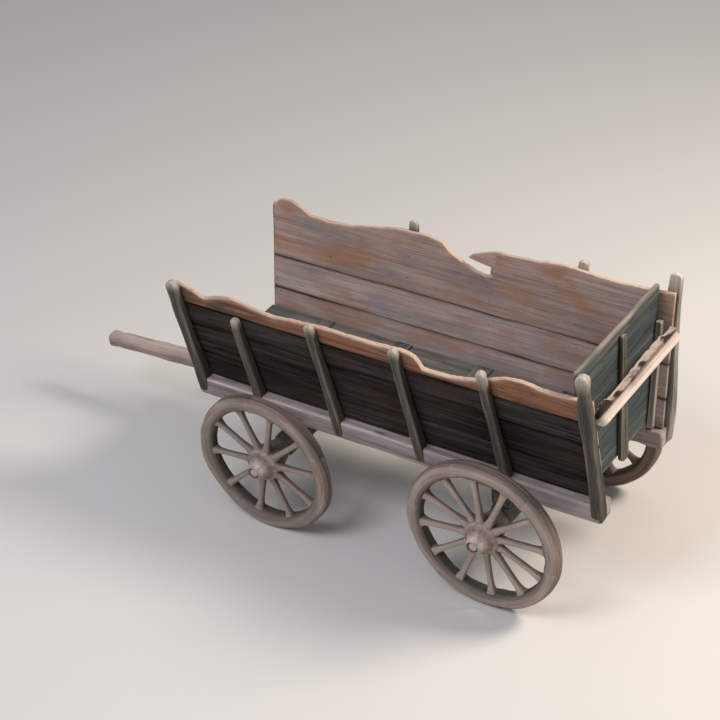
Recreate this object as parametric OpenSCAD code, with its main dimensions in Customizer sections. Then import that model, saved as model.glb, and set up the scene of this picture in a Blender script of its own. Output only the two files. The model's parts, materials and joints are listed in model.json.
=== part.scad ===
// Four-wheeled wooden mining cart: flared plank sides on heavy sills, a lift-out
// tailgate, a steering front carriage and a drawbar that lifts on a cross bolt.
// +X points along the drawbar, +Y to the cart's left and +Z up. The origin lies on
// the ground, under the middle of the overall length.

/* [Sills] */
// Length of each sill
sill_length = 2800; // [2330:10:3360]
// Distance over the outer faces of the two sills
body_width = 890; // [742:2:1068]
// Width of each sill
sill_width = 130; // [110:1:156]
// Height of each sill
sill_height = 124; // [104:1:149]
// Flat ledge left outside the side boards, on top of each sill
ledge = 60; // [50:1:72]

/* [Side boards] */
// Outward lean of the side boards, in degrees
flare = 9.2; // [6:0.1:12]
// Thickness of the side boards
board_thickness = 30; // [25:1:36]
// Width of the lowest side board
board_1_width = 192; // [160:1:230]
// Width of the second side board
board_2_width = 222; // [185:1:266]
// Width of the third board of the left side
board_3_width = 170; // [142:1:204]
// Unworn width of the left side's top board
board_4_width = 165; // [138:1:198]
// Gap between one board and the next
board_gap = 0.6; // [0.3:0.1:0.8]
// How far the boards stop short of the sill ends
board_inset = 15; // [12:1:18]
// Forward lean of the front ends of the left boards, in degrees
left_end_lean = 4; // [0:0.5:5]

/* [Stakes] */
// Width of a stake, along the cart
stake_width = 62; // [52:1:74]
// Width of a corner stake, along the cart
corner_width = 80; // [66:1:96]
// Depth of a stake at its foot
stake_foot = 78; // [65:1:80]
// Depth of a stake at its head
stake_head = 50; // [42:1:60]
// How far a stake's foot stops above the sill's underside
foot_lift = 20; // [18:1:24]
// Distance from a sill's end to the middle of its corner stake
stake_inset = 30; // [25:1:36]
// Distance between the two front stakes of a side
front_bay = 430; // [358:1:516]
// Forward lean of the left stakes between the corners, in degrees
left_stake_lean = 5; // [0:0.5:6]

/* [Floor] */
// Thickness of the floor planks
plank_thickness = 40; // [34:1:48]
// Number of floor planks
plank_count = 4;
// Gap between one plank and the next
plank_gap = 2; // [1:0.5:4]
// Width of the bearers under the floor
bearer_width = 80; // [67:1:96]
// Height of the bearers under the floor
bearer_height = 90; // [75:1:108]
// How far the bearers stand above the sills
bearer_rise = 30; // [25:1:36]
// Number of bearers
bearer_count = 5;
// Width of the battens nailed across the floor
batten_width = 110; // [92:1:132]
// Thickness of the battens nailed across the floor
batten_thickness = 16; // [13:1:19]

/* [Tailgate] */
// Distance from the sill ends to the middle of the tailgate
tail_inset = 120; // [112:1:144]
// Thickness of the tailgate boards
tail_thickness = 34; // [28:1:40]
// Height of the tailgate boards, without the cap
tail_height = 815; // [679:1:830]
// Height of the narrow bottom board
tail_strip = 90; // [75:1:108]
// Height of the cap rail
cap_height = 48; // [40:1:57]
// Depth of the cap rail, along the cart
cap_depth = 62; // [52:1:74]
// Depth of the centre batten, along the cart
centre_depth = 34; // [28:1:40]
// Width of the centre batten at its foot
centre_foot = 104; // [86:1:125]
// Width of the centre batten at its head
centre_head = 68; // [57:1:82]
// How far the centre batten hangs below the boards
centre_drop = 45; // [38:1:54]
// Width of the cleats that guide the tailgate, measured from the boards
cleat_width = 40; // [34:1:48]
// Thickness of the cleats, along the cart
cleat_thickness = 38; // [32:1:45]
// Height of the cleats above the sills
cleat_height = 690; // [575:1:700]
// Height of the blocks that carry the tailgate
stop_height = 45; // [38:1:54]
// Running gap between the tailgate and its cleats
tail_gap = 2; // [1:0.5:4]
// Gap between the tailgate and the side boards
tail_side_gap = 6; // [4:1:8]

/* [Crossbar] */
// Radius of the round lower edge of the rear crossbar
crossbar_radius = 35; // [29:1:42]
// Height of the whole crossbar
crossbar_height = 140; // [117:1:168]
// Depth of the flat planed on the crossbar where it lies on the boards' ends
crossbar_flat = 5; // [4:0.5:6]
// Thickness of the crossbar's upper part
crossbar_web = 42; // [35:1:50]
// Height of the crossbar's underside above the sills
crossbar_lift = 580; // [483:1:600]

/* [Running gear] */
// Diameter of the front wheels
front_wheel_diameter = 948; // [790:2:1138]
// Diameter of the rear wheels
rear_wheel_diameter = 1000; // [834:2:1200]
// Distance between the two axles
wheelbase = 1536; // [1280:2:1843]
// How far the middle of the wheelbase lies ahead of the middle of the sills
axle_offset = 17; // [0:1:30]
// Distance from a sill's outer face to the middle of the wheel rim
wheel_offset = 196; // [170:1:235]
// Width of the axle and bolster timbers, along the cart
axle_width = 120; // [100:1:144]
// Height of the axle timbers
axle_height = 120; // [100:1:144]
// Radius of the round axle arms
arm_radius = 28; // [24:1:33]
// Height of the front bolster
bolster_height = 40; // [34:1:48]
// Radius of the round wear plates
plate_radius = 115; // [96:1:138]
// Thickness of a wear plate
plate_thickness = 6; // [5:0.5:8]
// Radius of the king pin
king_radius = 16; // [13:1:19]

/* [Wheels] */
// Number of spokes in a front wheel, two to each felloe
front_spokes = 10; // [8:2:12]
// Number of spokes in a rear wheel, two to each felloe
rear_spokes = 12; // [10:2:14]
// Depth of the felloes, across the rim
felloe_depth = 95; // [80:1:114]
// Width of the felloes, along the axle
felloe_width = 105; // [88:1:126]
// Turn of the front wheels at rest, in degrees
front_wheel_turn = -13; // [-18:1:18]
// Turn of the rear wheels at rest, in degrees
rear_wheel_turn = -9; // [-15:1:15]
// Gap at the joints between felloes
felloe_gap = 0.8; // [0.4:0.1:1]
// Radius of a spoke
spoke_radius = 22; // [18:1:26]
// Radius of the nave where the spokes enter
nave_radius = 110; // [92:1:130]
// Length of the nave outside the middle of the rim
nave_nose = 127; // [110:1:150]
// Depth of the recess in the nose, where the linchpin sits
nose_recess = 33; // [28:1:36]
// Length of the nave inside the middle of the rim
nave_back = 176; // [147:1:180]
// Radius of the nave at its nose
nose_radius = 46; // [42:1:55]
// Radius of the nave at its inner end
back_radius = 70; // [60:1:84]
// Length of axle arm inside the recess
arm_end = 27; // [24:1:28]
// Radius of the linchpins
linchpin_radius = 6; // [5:0.5:7]
// Length of the linchpins
linchpin_length = 64; // [60:1:66]

/* [Drawbar] */
// Height and width of the squared drawbar
drawbar_size = 98; // [82:1:112]
// Distance from the cross bolt to the drawbar's tip
drawbar_reach = 1545; // [1285:5:1855]
// Angle by which the drawbar points below level, in degrees
drawbar_droop = 4.1; // [2:0.1:5]
// Distance from the front axle to the cross bolt
bolt_reach = 195; // [175:1:234]
// Radius of the cross bolt
bolt_radius = 12; // [10:1:14]
// Height of the two hounds that hold the drawbar
hound_height = 90; // [82:1:108]
// Thickness of a hound
hound_thickness = 50; // [42:1:60]
// Length of a hound behind the front axle
hound_tail = 230; // [192:1:276]
// Length of a hound ahead of the cross bolt
hound_nose = 105; // [95:1:126]
// Gap between the drawbar and each hound
jaw_gap = 2.5; // [1:0.5:4]
// Thickness of the rest bar under the drawbar
rest_height = 42; // [35:1:50]
// Width of the rest bar, along the cart
rest_width = 50; // [42:1:60]

/* [Fits] */
// Gap where one moving face lies on another
seat_gap = 0.3; // [0.2:0.1:0.5]
// Radial clearance of a pin or an axle arm in its hole
pin_clearance = 0.05; // [0.02:0.01:0.1]
// Gap round a timber in its housing
housing_gap = 0.2; // [0.1:0.1:0.4]

/* [Hidden] */
$fn = 96;

// Colours of the weathered timber and of the iron
wheel_wood = "#a5958c";
sill_wood = "#8d857f";
stake_wood = "#7c8078";
side_wood = "#4b4742";
top_wood = "#96725a";
floor_wood = "#77757a";
tail_wood = "#62706f";
under_wood = "#4f4c49";
iron = "#3b3a3a";

// Sides and ends of the cart, as signs
left = 1;
right = -1;
front = 1;
rear = -1;

// Heights, from the ground up
front_radius = front_wheel_diameter / 2;
rear_radius = rear_wheel_diameter / 2;
hound_foot = front_radius + axle_height / 2;
lower_plate_foot = hound_foot + hound_height;
upper_plate_foot = lower_plate_foot + plate_thickness + seat_gap;
bolster_foot = upper_plate_foot + plate_thickness;
sill_foot = bolster_foot + bolster_height;
sill_top = sill_foot + sill_height;
rear_bolster_foot = rear_radius + axle_height / 2;
floor_foot = sill_top + bearer_rise;
floor_top = floor_foot + plank_thickness;
tail_foot = sill_top + stop_height + seat_gap;
cap_foot = tail_foot + tail_height;

// Places along the cart, measured from the middle of the sills
sill_end = sill_length / 2;
board_end = sill_end - board_inset;
front_axle_x = axle_offset + wheelbase / 2;
rear_axle_x = axle_offset - wheelbase / 2;
bolt_x = front_axle_x + bolt_reach;
tail_x = -sill_end + tail_inset;
tail_back = tail_x - tail_thickness / 2;
tail_face = tail_x + tail_thickness / 2;
floor_back = tail_face + tail_gap + 5;

// Places across the cart
sill_out = body_width / 2;
sill_in = sill_out - sill_width;
wall_foot_y = sill_out - ledge;
rim_y = sill_out + wheel_offset;
nave_in_y = rim_y - nave_back;
nave_out_y = rim_y + nave_nose;
recess_y = nave_out_y - nose_recess;
arm_out_y = recess_y + arm_end;
pin_y = recess_y + arm_end / 2;
beam_y = nave_in_y - 5;

// The drawbar's cross bolt: the drawbar's underside clears the front axle's top
bolt_z = hound_foot + drawbar_size / 2 + 3;
hound_in = drawbar_size / 2 + jaw_gap;

// The overall length runs from the crossbar to the drawbar's upper front corner
tip_x = bolt_x + drawbar_reach * cos(drawbar_droop) + drawbar_size / 2 * sin(drawbar_droop);
crossbar_x = -board_end + crossbar_flat - crossbar_radius;
crossbar_back = crossbar_x - crossbar_radius;
middle_x = (tip_x + crossbar_back) / 2;

// Side boards, from the sill up, as heights along their own slope
board_feet = [
    0,
    board_1_width,
    board_1_width + board_2_width,
    board_1_width + board_2_width + board_3_width,
    board_1_width + board_2_width + board_3_width + board_4_width
];
wall_height = board_feet[4];

// Worn top edge of each side, front to rear: share of the half length, rise over the wall
left_top = [
    [1, -25], [0.94, -48], [0.89, -88], [0.78, -38], [0.71, -24], [0.62, -54], [0.52, -70],
    [0.41, -54], [0.2, -36], [0, -42], [-0.13, -26], [-0.185, -38], [-0.21, -80],
    [-0.22, -124], [-0.27, -130], [-0.355, -124], [-0.49, -78], [-0.6, -8], [-0.69, 15],
    [-0.78, -8], [-0.93, 3], [-1, 12]
];
// The right side has a splinter lying over a notch near its middle
right_top = [
    [1, 5], [0.955, 62], [0.9, 66], [0.845, 36], [0.795, 0], [0.7, -9], [0.61, -2],
    [0.48, 28], [0.32, 68], [0.2, 74], [0.1, 56], [0.06, 6], [0, -36], [-0.085, -75],
    [-0.126, -82], [-0.172, -64], [-0.168, -36], [-0.085, -18], [-0.035, -6], [-0.055, 28],
    [-0.165, 80], [-0.325, 88], [-0.5, 112], [-0.66, 96], [-0.75, 92], [-1, 114]
];

// Head of each stake, front to rear, as a rise over the unworn wall
left_heads = [10, -149, -7, 1, 37, 240];
right_heads = [20, -60, 129, -30, 156, 224];
stake_count = len(left_heads);
stake_pitch = (sill_length - 2 * stake_inset - front_bay) / (stake_count - 2);

// Places worked out for one member of a row
function stake_x(k) = k == 1 ? sill_end - stake_inset
    : -sill_end + stake_inset + (stake_count - k) * stake_pitch;
function is_corner(k) = k == 1 || k == stake_count;
function stake_lean(side, k) = side == right || k == stake_count ? 0
    : k == 1 ? left_end_lean : left_stake_lean;
function stake_rise(side, k) = side == left ? left_heads[k - 1] : right_heads[k - 1];
function end_lean(side) = side == left ? left_end_lean : 0;
// The right side's third board is one wide plank that takes the place of two
function board_count(side) = side == left ? 4 : 3;
// Inner face of the side boards at a height above the ground
function wall_in(z) = wall_foot_y - board_thickness / cos(flare) + (z - sill_top) * tan(flare);
function wheel_radius(end) = end == front ? front_radius : rear_radius;
function wheel_x(end) = end == front ? front_axle_x : rear_axle_x;
function wheel_turn(end) = end == front ? front_wheel_turn : rear_wheel_turn;
function spokes(end) = end == front ? front_spokes : rear_spokes;

// Moves the cart so that the origin lies under the middle of its length
module on_cart() {
    translate([-middle_x, 0, 0]) children();
}

// A side's own frame: X along the cart, Y outwards, Z up the slope from the sill's top
module side_plane(side) {
    mirror([0, side == right ? 1 : 0, 0])
        translate([0, wall_foot_y, sill_top])
            rotate([-flare, 0, 0])
                children();
}

// Extrudes an outline drawn in X and Z towards -Y
module upright(thickness) {
    rotate([90, 0, 0]) linear_extrude(height = thickness) children();
}

// Extrudes an outline drawn in Y and Z along X, about the middle
module across(thickness) {
    rotate([90, 0, 90]) linear_extrude(height = thickness, center = true) children();
}

// ---- Sides ----

module stake_shape(side, k, grow) {
    width = is_corner(k) ? corner_width : stake_width;
    foot = -sill_height + foot_lift;
    head = wall_height + stake_rise(side, k);
    side_plane(side)
        translate([stake_x(k), 0, 0])
            rotate([0, stake_lean(side, k), 0])
                across(width + 2 * grow)
                    polygon([
                        [-grow, foot - grow], [stake_foot + grow, foot - grow],
                        [stake_head + grow, head - 22], [stake_head - 14, head],
                        [12, head], [-grow, head - 14]
                    ]);
}

module stake(side, k) {
    color(stake_wood) on_cart() stake_shape(side, k, 0);
}

module board_outline(side, k) {
    low = board_feet[k - 1];
    high = board_feet[k] - board_gap;
    front_low = board_end + low * tan(end_lean(side));
    front_high = board_end + high * tan(end_lean(side));
    polygon([[-board_end, low], [front_low, low], [front_high, high], [-board_end, high]]);
}

module top_board_outline(side, k) {
    low = board_feet[k - 1];
    worn = side == left ? left_top : right_top;
    lean = tan(end_lean(side));
    polygon(concat(
        [[-board_end, low], [board_end + low * lean, low]],
        [for (p = worn)
            [p[0] * board_end + (p[0] == 1 ? wall_height * lean : 0), wall_height + p[1]]]
    ));
}

module side_board(side, k) {
    is_top = k == board_count(side);
    color(is_top ? top_wood : side_wood) on_cart() side_plane(side) upright(board_thickness) {
        if (is_top) top_board_outline(side, k);
        else board_outline(side, k);
    }
}

module sill(side) {
    color(sill_wood) on_cart() difference() {
        translate([-sill_end, side == left ? sill_in : -sill_out, sill_foot])
            cube([sill_length, sill_width, sill_height]);
        for (k = [1 : stake_count]) stake_shape(side, k, housing_gap);
    }
}

// ---- Floor ----

module cross_bearers() {
    back = floor_back + 110;
    pitch = (sill_end - 165 - back) / (bearer_count - 1);
    color(under_wood) on_cart()
        for (i = [0 : bearer_count - 1])
            translate([back + i * pitch - bearer_width / 2, -sill_in, floor_foot - bearer_height])
                cube([bearer_width, 2 * sill_in, bearer_height]);
}

module floor_plank(i) {
    room = 2 * (wall_in(floor_foot) - tail_side_gap);
    width = (room - (plank_count - 1) * plank_gap) / plank_count;
    color(floor_wood) on_cart()
        translate([floor_back, room / 2 - i * width - (i - 1) * plank_gap, floor_foot])
            cube([board_end - floor_back, width, plank_thickness]);
}

module floor_battens() {
    half = wall_in(floor_foot) - 3 * tail_side_gap;
    color(floor_wood) on_cart()
        for (k = [2 : stake_count - 1])
            translate([stake_x(k) - batten_width / 2, -half, floor_top])
                cube([batten_width, 2 * half, batten_thickness]);
}

// ---- Tailgate ----

// Outline of the tailgate between two heights, as wide as the sides leave room for
module tail_outline(low, high) {
    low_half = wall_in(low) - tail_side_gap;
    high_half = wall_in(high) - tail_side_gap;
    polygon([[-low_half, low], [low_half, low], [high_half, high], [-high_half, high]]);
}

module tailgate_strip() {
    color(tail_wood) on_cart() translate([tail_x, 0, 0])
        across(tail_thickness) tail_outline(tail_foot, tail_foot + tail_strip - board_gap);
}

module tailgate_boards() {
    low = tail_foot + tail_strip;
    width = (tail_height - tail_strip) / 3;
    color(tail_wood) on_cart() translate([tail_x, 0, 0])
        for (i = [0 : 2])
            across(tail_thickness)
                tail_outline(low + i * width, low + (i + 1) * width - (i < 2 ? board_gap : 0));
}

module tailgate_cap() {
    color(tail_wood) on_cart() translate([tail_x, 0, 0])
        across(cap_depth) tail_outline(cap_foot, cap_foot + cap_height);
}

module tailgate_batten() {
    low = tail_foot - centre_drop;
    color(tail_wood) on_cart() translate([tail_back - centre_depth / 2, 0, 0])
        across(centre_depth)
            polygon([
                [-centre_foot / 4, low], [centre_foot / 4, low],
                [centre_foot / 2, low + centre_foot / 4], [centre_head / 2, cap_foot],
                [-centre_head / 2, cap_foot], [-centre_foot / 2, low + centre_foot / 4]
            ]);
}

module tailgate_cleats() {
    inner_x = tail_face + tail_gap;
    outer_x = tail_back - tail_gap - cleat_thickness;
    inner_foot = floor_top - sill_top + 2;
    block_in = sill_in + 1;
    block_out = wall_in(sill_top) - 1;
    color(tail_wood) on_cart() {
        for (side = [left, right]) {
            side_plane(side) translate([outer_x, -board_thickness - cleat_width, 0])
                cube([cleat_thickness, cleat_width, cleat_height]);
            side_plane(side) translate([inner_x, -board_thickness - cleat_width, inner_foot])
                cube([cleat_thickness, cleat_width, cleat_height - inner_foot]);
            translate([tail_back, side == left ? block_in : -block_out, sill_top])
                cube([tail_thickness, block_out - block_in, stop_height]);
        }
    }
}

module rear_crossbar() {
    low = sill_top + crossbar_lift;
    half = wall_in(low) + board_thickness;
    face = crossbar_radius - crossbar_flat;
    color(wheel_wood) on_cart() translate([crossbar_x, 0, low]) {
        translate([0, half, 0]) upright(2 * half) {
            intersection() {
                translate([0, crossbar_radius]) circle(r = crossbar_radius);
                translate([face - 2 * crossbar_radius, 0]) square(2 * crossbar_radius);
            }
            translate([face - crossbar_web, crossbar_radius])
                square([crossbar_web, crossbar_height - crossbar_radius]);
        }
    }
}

// ---- Axles and carriage ----

// A squared axle timber with its two round arms and the holes of the linchpins
module axle_timber(end) {
    radius = wheel_radius(end);
    translate([wheel_x(end), 0, radius]) difference() {
        union() {
            translate([-axle_width / 2, -beam_y, -axle_height / 2])
                cube([axle_width, 2 * beam_y, axle_height]);
            rotate([90, 0, 0]) cylinder(r = arm_radius, h = 2 * arm_out_y, center = true);
        }
        for (side = [left, right])
            translate([0, side * pin_y, 0])
                cylinder(r = linchpin_radius + pin_clearance, h = 3 * arm_radius, center = true);
    }
}

module linchpins(end) {
    for (side = [left, right])
        translate([wheel_x(end), side * pin_y, wheel_radius(end)])
            cylinder(r = linchpin_radius, h = linchpin_length, center = true);
}

module rear_axle() {
    color(under_wood) on_cart() axle_timber(rear);
}

module rear_linchpins() {
    color(iron) on_cart() linchpins(rear);
}

module front_linchpins() {
    color(iron) on_cart() linchpins(front);
}

module rear_bolster() {
    color(under_wood) on_cart()
        translate([rear_axle_x - axle_width / 2, -sill_out, rear_bolster_foot])
            cube([axle_width, body_width, sill_foot - rear_bolster_foot]);
}

module king_hole() {
    translate([front_axle_x, 0, 0])
        cylinder(r = king_radius + pin_clearance, h = sill_top);
}

module front_axle() {
    color(under_wood) on_cart() difference() {
        axle_timber(front);
        king_hole();
    }
}

module front_bolster() {
    color(under_wood) on_cart() difference() {
        translate([front_axle_x - axle_width / 2, -sill_out, bolster_foot])
            cube([axle_width, body_width, bolster_height]);
        king_hole();
    }
}

module wear_plate(foot) {
    color(iron) on_cart() difference() {
        translate([front_axle_x, 0, foot]) cylinder(r = plate_radius, h = plate_thickness);
        king_hole();
    }
}

module upper_wear_plate() {
    wear_plate(upper_plate_foot);
}

module lower_wear_plate() {
    wear_plate(lower_plate_foot);
}

// The pin hangs by its head on the bolster; its foot carries a round nut under the axle
module king_pin() {
    nut_top = front_radius - axle_height / 2 - seat_gap;
    nut_height = king_radius;
    head_height = king_radius;
    color(iron) on_cart() translate([front_axle_x, 0, 0]) {
        translate([0, 0, nut_top - 2 * nut_height])
            cylinder(r = king_radius, h = sill_foot - nut_top + 2 * nut_height);
        translate([0, 0, nut_top - nut_height]) cylinder(r = 1.7 * king_radius, h = nut_height);
        translate([0, 0, sill_foot]) cylinder(r = 1.7 * king_radius, h = head_height);
    }
}

module hound(side) {
    length = hound_tail + bolt_reach + hound_nose;
    color(under_wood) on_cart() difference() {
        translate([
            front_axle_x - hound_tail,
            side == left ? hound_in : -hound_in - hound_thickness,
            hound_foot
        ])
            cube([length, hound_thickness, hound_height]);
        translate([bolt_x, 0, bolt_z]) rotate([90, 0, 0])
            cylinder(r = bolt_radius + pin_clearance, h = body_width, center = true);
    }
}

module drawbar_bolt() {
    grip = hound_in + hound_thickness;
    head = bolt_radius;
    color(iron) on_cart() translate([bolt_x, 0, bolt_z]) rotate([90, 0, 0]) {
        cylinder(r = bolt_radius, h = 2 * grip + 3 * head, center = true);
        for (end = [-1, 1])
            translate([0, 0, end * (grip + head / 2)])
                cylinder(r = 1.7 * bolt_radius, h = head, center = true);
    }
}

// Space that the drawbar fills at rest, in its own drooping frame
module drawbar_space(grow) {
    translate([bolt_x, 0, bolt_z]) rotate([0, drawbar_droop, 0])
        translate([0, -hound_in, -drawbar_size / 2 - grow])
            cube([2 * hound_nose, 2 * hound_in, drawbar_size + 2 * grow]);
}

// A bar under the noses of the hounds, planed down where the drawbar lies on it
module drawbar_rest() {
    half = hound_in + hound_thickness;
    color(under_wood) on_cart() difference() {
        translate([bolt_x + hound_nose - rest_width, -half, hound_foot - rest_height])
            cube([rest_width, 2 * half, rest_height]);
        drawbar_space(seat_gap);
    }
}

module drawbar() {
    half = drawbar_size / 2;
    color(wheel_wood) on_cart() translate([bolt_x, 0, bolt_z]) rotate([0, drawbar_droop, 0])
        difference() {
            union() {
                rotate([90, 0, 0]) cylinder(r = half, h = drawbar_size, center = true);
                translate([0, -half, -half]) cube([drawbar_reach, drawbar_size, drawbar_size]);
            }
            rotate([90, 0, 0])
                cylinder(r = bolt_radius + pin_clearance, h = 2 * drawbar_size, center = true);
        }
}

// ---- Wheels ----

// A wheel's own frame: Z along its axle towards the nose, origin in the middle of the rim
module wheel_place(end, side) {
    color(wheel_wood) on_cart()
        translate([wheel_x(end), side * rim_y, wheel_radius(end)])
            rotate([-90 * side, 0, 0])
                rotate([0, 0, wheel_turn(end)])
                    children();
}

module nave(end, side) {
    bore = arm_radius + pin_clearance;
    collar = spoke_radius + 14;
    shoulder = nave_nose - nose_recess;
    recess_radius = linchpin_length / 2 + 3;
    wheel_place(end, side) rotate_extrude() polygon([
        [bore, -nave_back], [back_radius, -nave_back], [back_radius + 8, 40 - nave_back],
        [nave_radius - 6, -collar - 24], [nave_radius, -collar], [nave_radius, collar],
        [nave_radius - 14, collar + 10], [nose_radius + 12, shoulder - 12],
        [nose_radius + 2, nave_nose - 8], [nose_radius - 4, nave_nose],
        [recess_radius, nave_nose], [recess_radius, shoulder], [bore, shoulder]
    ]);
}

module spoke_set(end, side) {
    count = spokes(end);
    inner = nave_radius + housing_gap;
    rim_in = wheel_radius(end) - felloe_depth - housing_gap;
    outer = sqrt(pow(rim_in, 2) - pow(spoke_radius, 2));
    wheel_place(end, side)
        for (i = [0 : count - 1])
            rotate([0, 0, (i + 0.5) * 360 / count]) rotate([0, 90, 0])
                translate([0, 0, inner]) cylinder(r = spoke_radius, h = outer - inner);
}

module felloe_ring(end, side) {
    count = spokes(end) / 2;
    radius = wheel_radius(end);
    edge = 8;
    half = felloe_width / 2;
    gap_angle = felloe_gap / radius * 180 / PI;
    wheel_place(end, side)
        for (i = [0 : count - 1])
            rotate([0, 0, i * 360 / count + gap_angle / 2])
                rotate_extrude(angle = 360 / count - gap_angle) polygon([
                    [radius - felloe_depth, edge - half], [radius - felloe_depth + edge, -half],
                    [radius - edge, -half], [radius, edge - half], [radius, half - edge],
                    [radius - edge, half], [radius - felloe_depth + edge, half],
                    [radius - felloe_depth, half - edge]
                ]);
}

sill(left);  // left_sill
sill(right);  // right_sill
cross_bearers();
floor_plank(1);  // floor_plank_1
floor_plank(2);  // floor_plank_2
floor_plank(3);  // floor_plank_3
floor_plank(4);  // floor_plank_4
floor_battens();
side_board(left, 1);  // left_board_1
side_board(left, 2);  // left_board_2
side_board(left, 3);  // left_board_3
side_board(left, 4);  // left_board_4
side_board(right, 1);  // right_board_1
side_board(right, 2);  // right_board_2
side_board(right, 3);  // right_board_3
stake(left, 1);  // left_stake_1
stake(left, 2);  // left_stake_2
stake(left, 3);  // left_stake_3
stake(left, 4);  // left_stake_4
stake(left, 5);  // left_stake_5
stake(left, 6);  // left_stake_6
stake(right, 1);  // right_stake_1
stake(right, 2);  // right_stake_2
stake(right, 3);  // right_stake_3
stake(right, 4);  // right_stake_4
stake(right, 5);  // right_stake_5
stake(right, 6);  // right_stake_6
tailgate_cleats();
rear_crossbar();
rear_bolster();
rear_axle();
rear_linchpins();
front_bolster();
upper_wear_plate();
king_pin();
front_axle();
lower_wear_plate();
hound(left);  // left_hound
hound(right);  // right_hound
drawbar_rest();
drawbar_bolt();
front_linchpins();
drawbar();
nave(front, left);  // front_left_nave
spoke_set(front, left);  // front_left_spokes
felloe_ring(front, left);  // front_left_felloes
nave(front, right);  // front_right_nave
spoke_set(front, right);  // front_right_spokes
felloe_ring(front, right);  // front_right_felloes
nave(rear, left);  // rear_left_nave
spoke_set(rear, left);  // rear_left_spokes
felloe_ring(rear, left);  // rear_left_felloes
nave(rear, right);  // rear_right_nave
spoke_set(rear, right);  // rear_right_spokes
felloe_ring(rear, right);  // rear_right_felloes
tailgate_strip();
tailgate_boards();
tailgate_cap();
tailgate_batten();
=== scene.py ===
import json
import math

import bpy
import numpy as np
from mathutils import Matrix, Vector


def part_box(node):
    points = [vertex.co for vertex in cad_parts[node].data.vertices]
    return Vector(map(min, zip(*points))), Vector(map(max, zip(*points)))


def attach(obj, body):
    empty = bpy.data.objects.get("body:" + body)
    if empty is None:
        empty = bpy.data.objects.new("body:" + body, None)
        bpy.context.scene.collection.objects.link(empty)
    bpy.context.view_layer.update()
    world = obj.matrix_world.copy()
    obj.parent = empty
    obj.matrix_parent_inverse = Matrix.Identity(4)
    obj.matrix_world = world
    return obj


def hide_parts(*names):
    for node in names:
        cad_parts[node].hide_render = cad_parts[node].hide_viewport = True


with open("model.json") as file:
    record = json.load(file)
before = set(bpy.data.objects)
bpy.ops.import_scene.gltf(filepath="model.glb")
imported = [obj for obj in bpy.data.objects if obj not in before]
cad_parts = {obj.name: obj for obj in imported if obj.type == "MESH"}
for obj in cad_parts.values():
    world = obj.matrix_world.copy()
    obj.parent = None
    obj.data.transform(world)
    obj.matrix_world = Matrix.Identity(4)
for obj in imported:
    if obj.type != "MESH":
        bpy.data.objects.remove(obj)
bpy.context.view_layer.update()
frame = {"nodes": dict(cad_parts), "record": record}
nodes = frame["nodes"]
left, right = 1, -1
print("frame loaded:", len(nodes), "nodes")

# The cart's own plan, in metres and degrees, for what a box can't say
plan = dict(
    flare=9.2,  # outward lean of the sides
    ledge=0.060,  # flat ledge outside the side boards
    board=0.030,  # thickness of the side boards
    footLean=5.0,  # forward lean of the left stakes between the corners
    endLean=4.0,  # forward lean of the left side's front end
    droop=4.1,  # the drawbar points this far below level
    drawbarSize=0.098,
    tailGap=0.006,  # gap between the tailgate and the sides
    noseRecess=0.033,
    halfTrack=0.641,  # from the cart's middle to the middle of a rim
)
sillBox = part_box("left_sill")
sillTop = sillBox[1][2]
footY = sillBox[1][1] - plan["ledge"]
tanFlare = math.tan(math.radians(plan["flare"]))
cosFlare = math.cos(math.radians(plan["flare"]))
sinFlare = math.sin(math.radians(plan["flare"]))


# ---- noise, in numbers that are the same on every run

def lattice(x, y, z, seed):
    mixed = (x * 374761393 + y * 668265263 + z * 1440662683 + seed * 974634777) & 0x7FFFFFFF
    mixed = ((mixed ^ (mixed >> 13)) * 1274126177) & 0x7FFFFFFF
    return ((mixed ^ (mixed >> 16)) & 0xFFFF) / 32767.5 - 1.0


def grainNoise(along, across, through, scale, seed):
    # smooth noise from -1 to 1; scale says how many features there are to a metre
    along, across, through = np.broadcast_arrays(along, across, through)
    spots = [along * scale[0] + 7.31 * seed, across * scale[1], through * scale[2]]
    cells = [np.floor(v).astype(np.int64) for v in spots]
    steps = [v - c for v, c in zip(spots, cells)]
    ease = [t * t * (3 - 2 * t) for t in steps]
    total = 0
    for dx in (0, 1):
        wx = ease[0] if dx else 1 - ease[0]
        for dy in (0, 1):
            wy = ease[1] if dy else 1 - ease[1]
            for dz in (0, 1):
                wz = ease[2] if dz else 1 - ease[2]
                value = lattice(cells[0] + dx, cells[1] + dy, cells[2] + dz, seed)
                total = total + wx * wy * wz * value
    return total


# ---- carving: closed shapes gathered into one mesh for each piece

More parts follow.
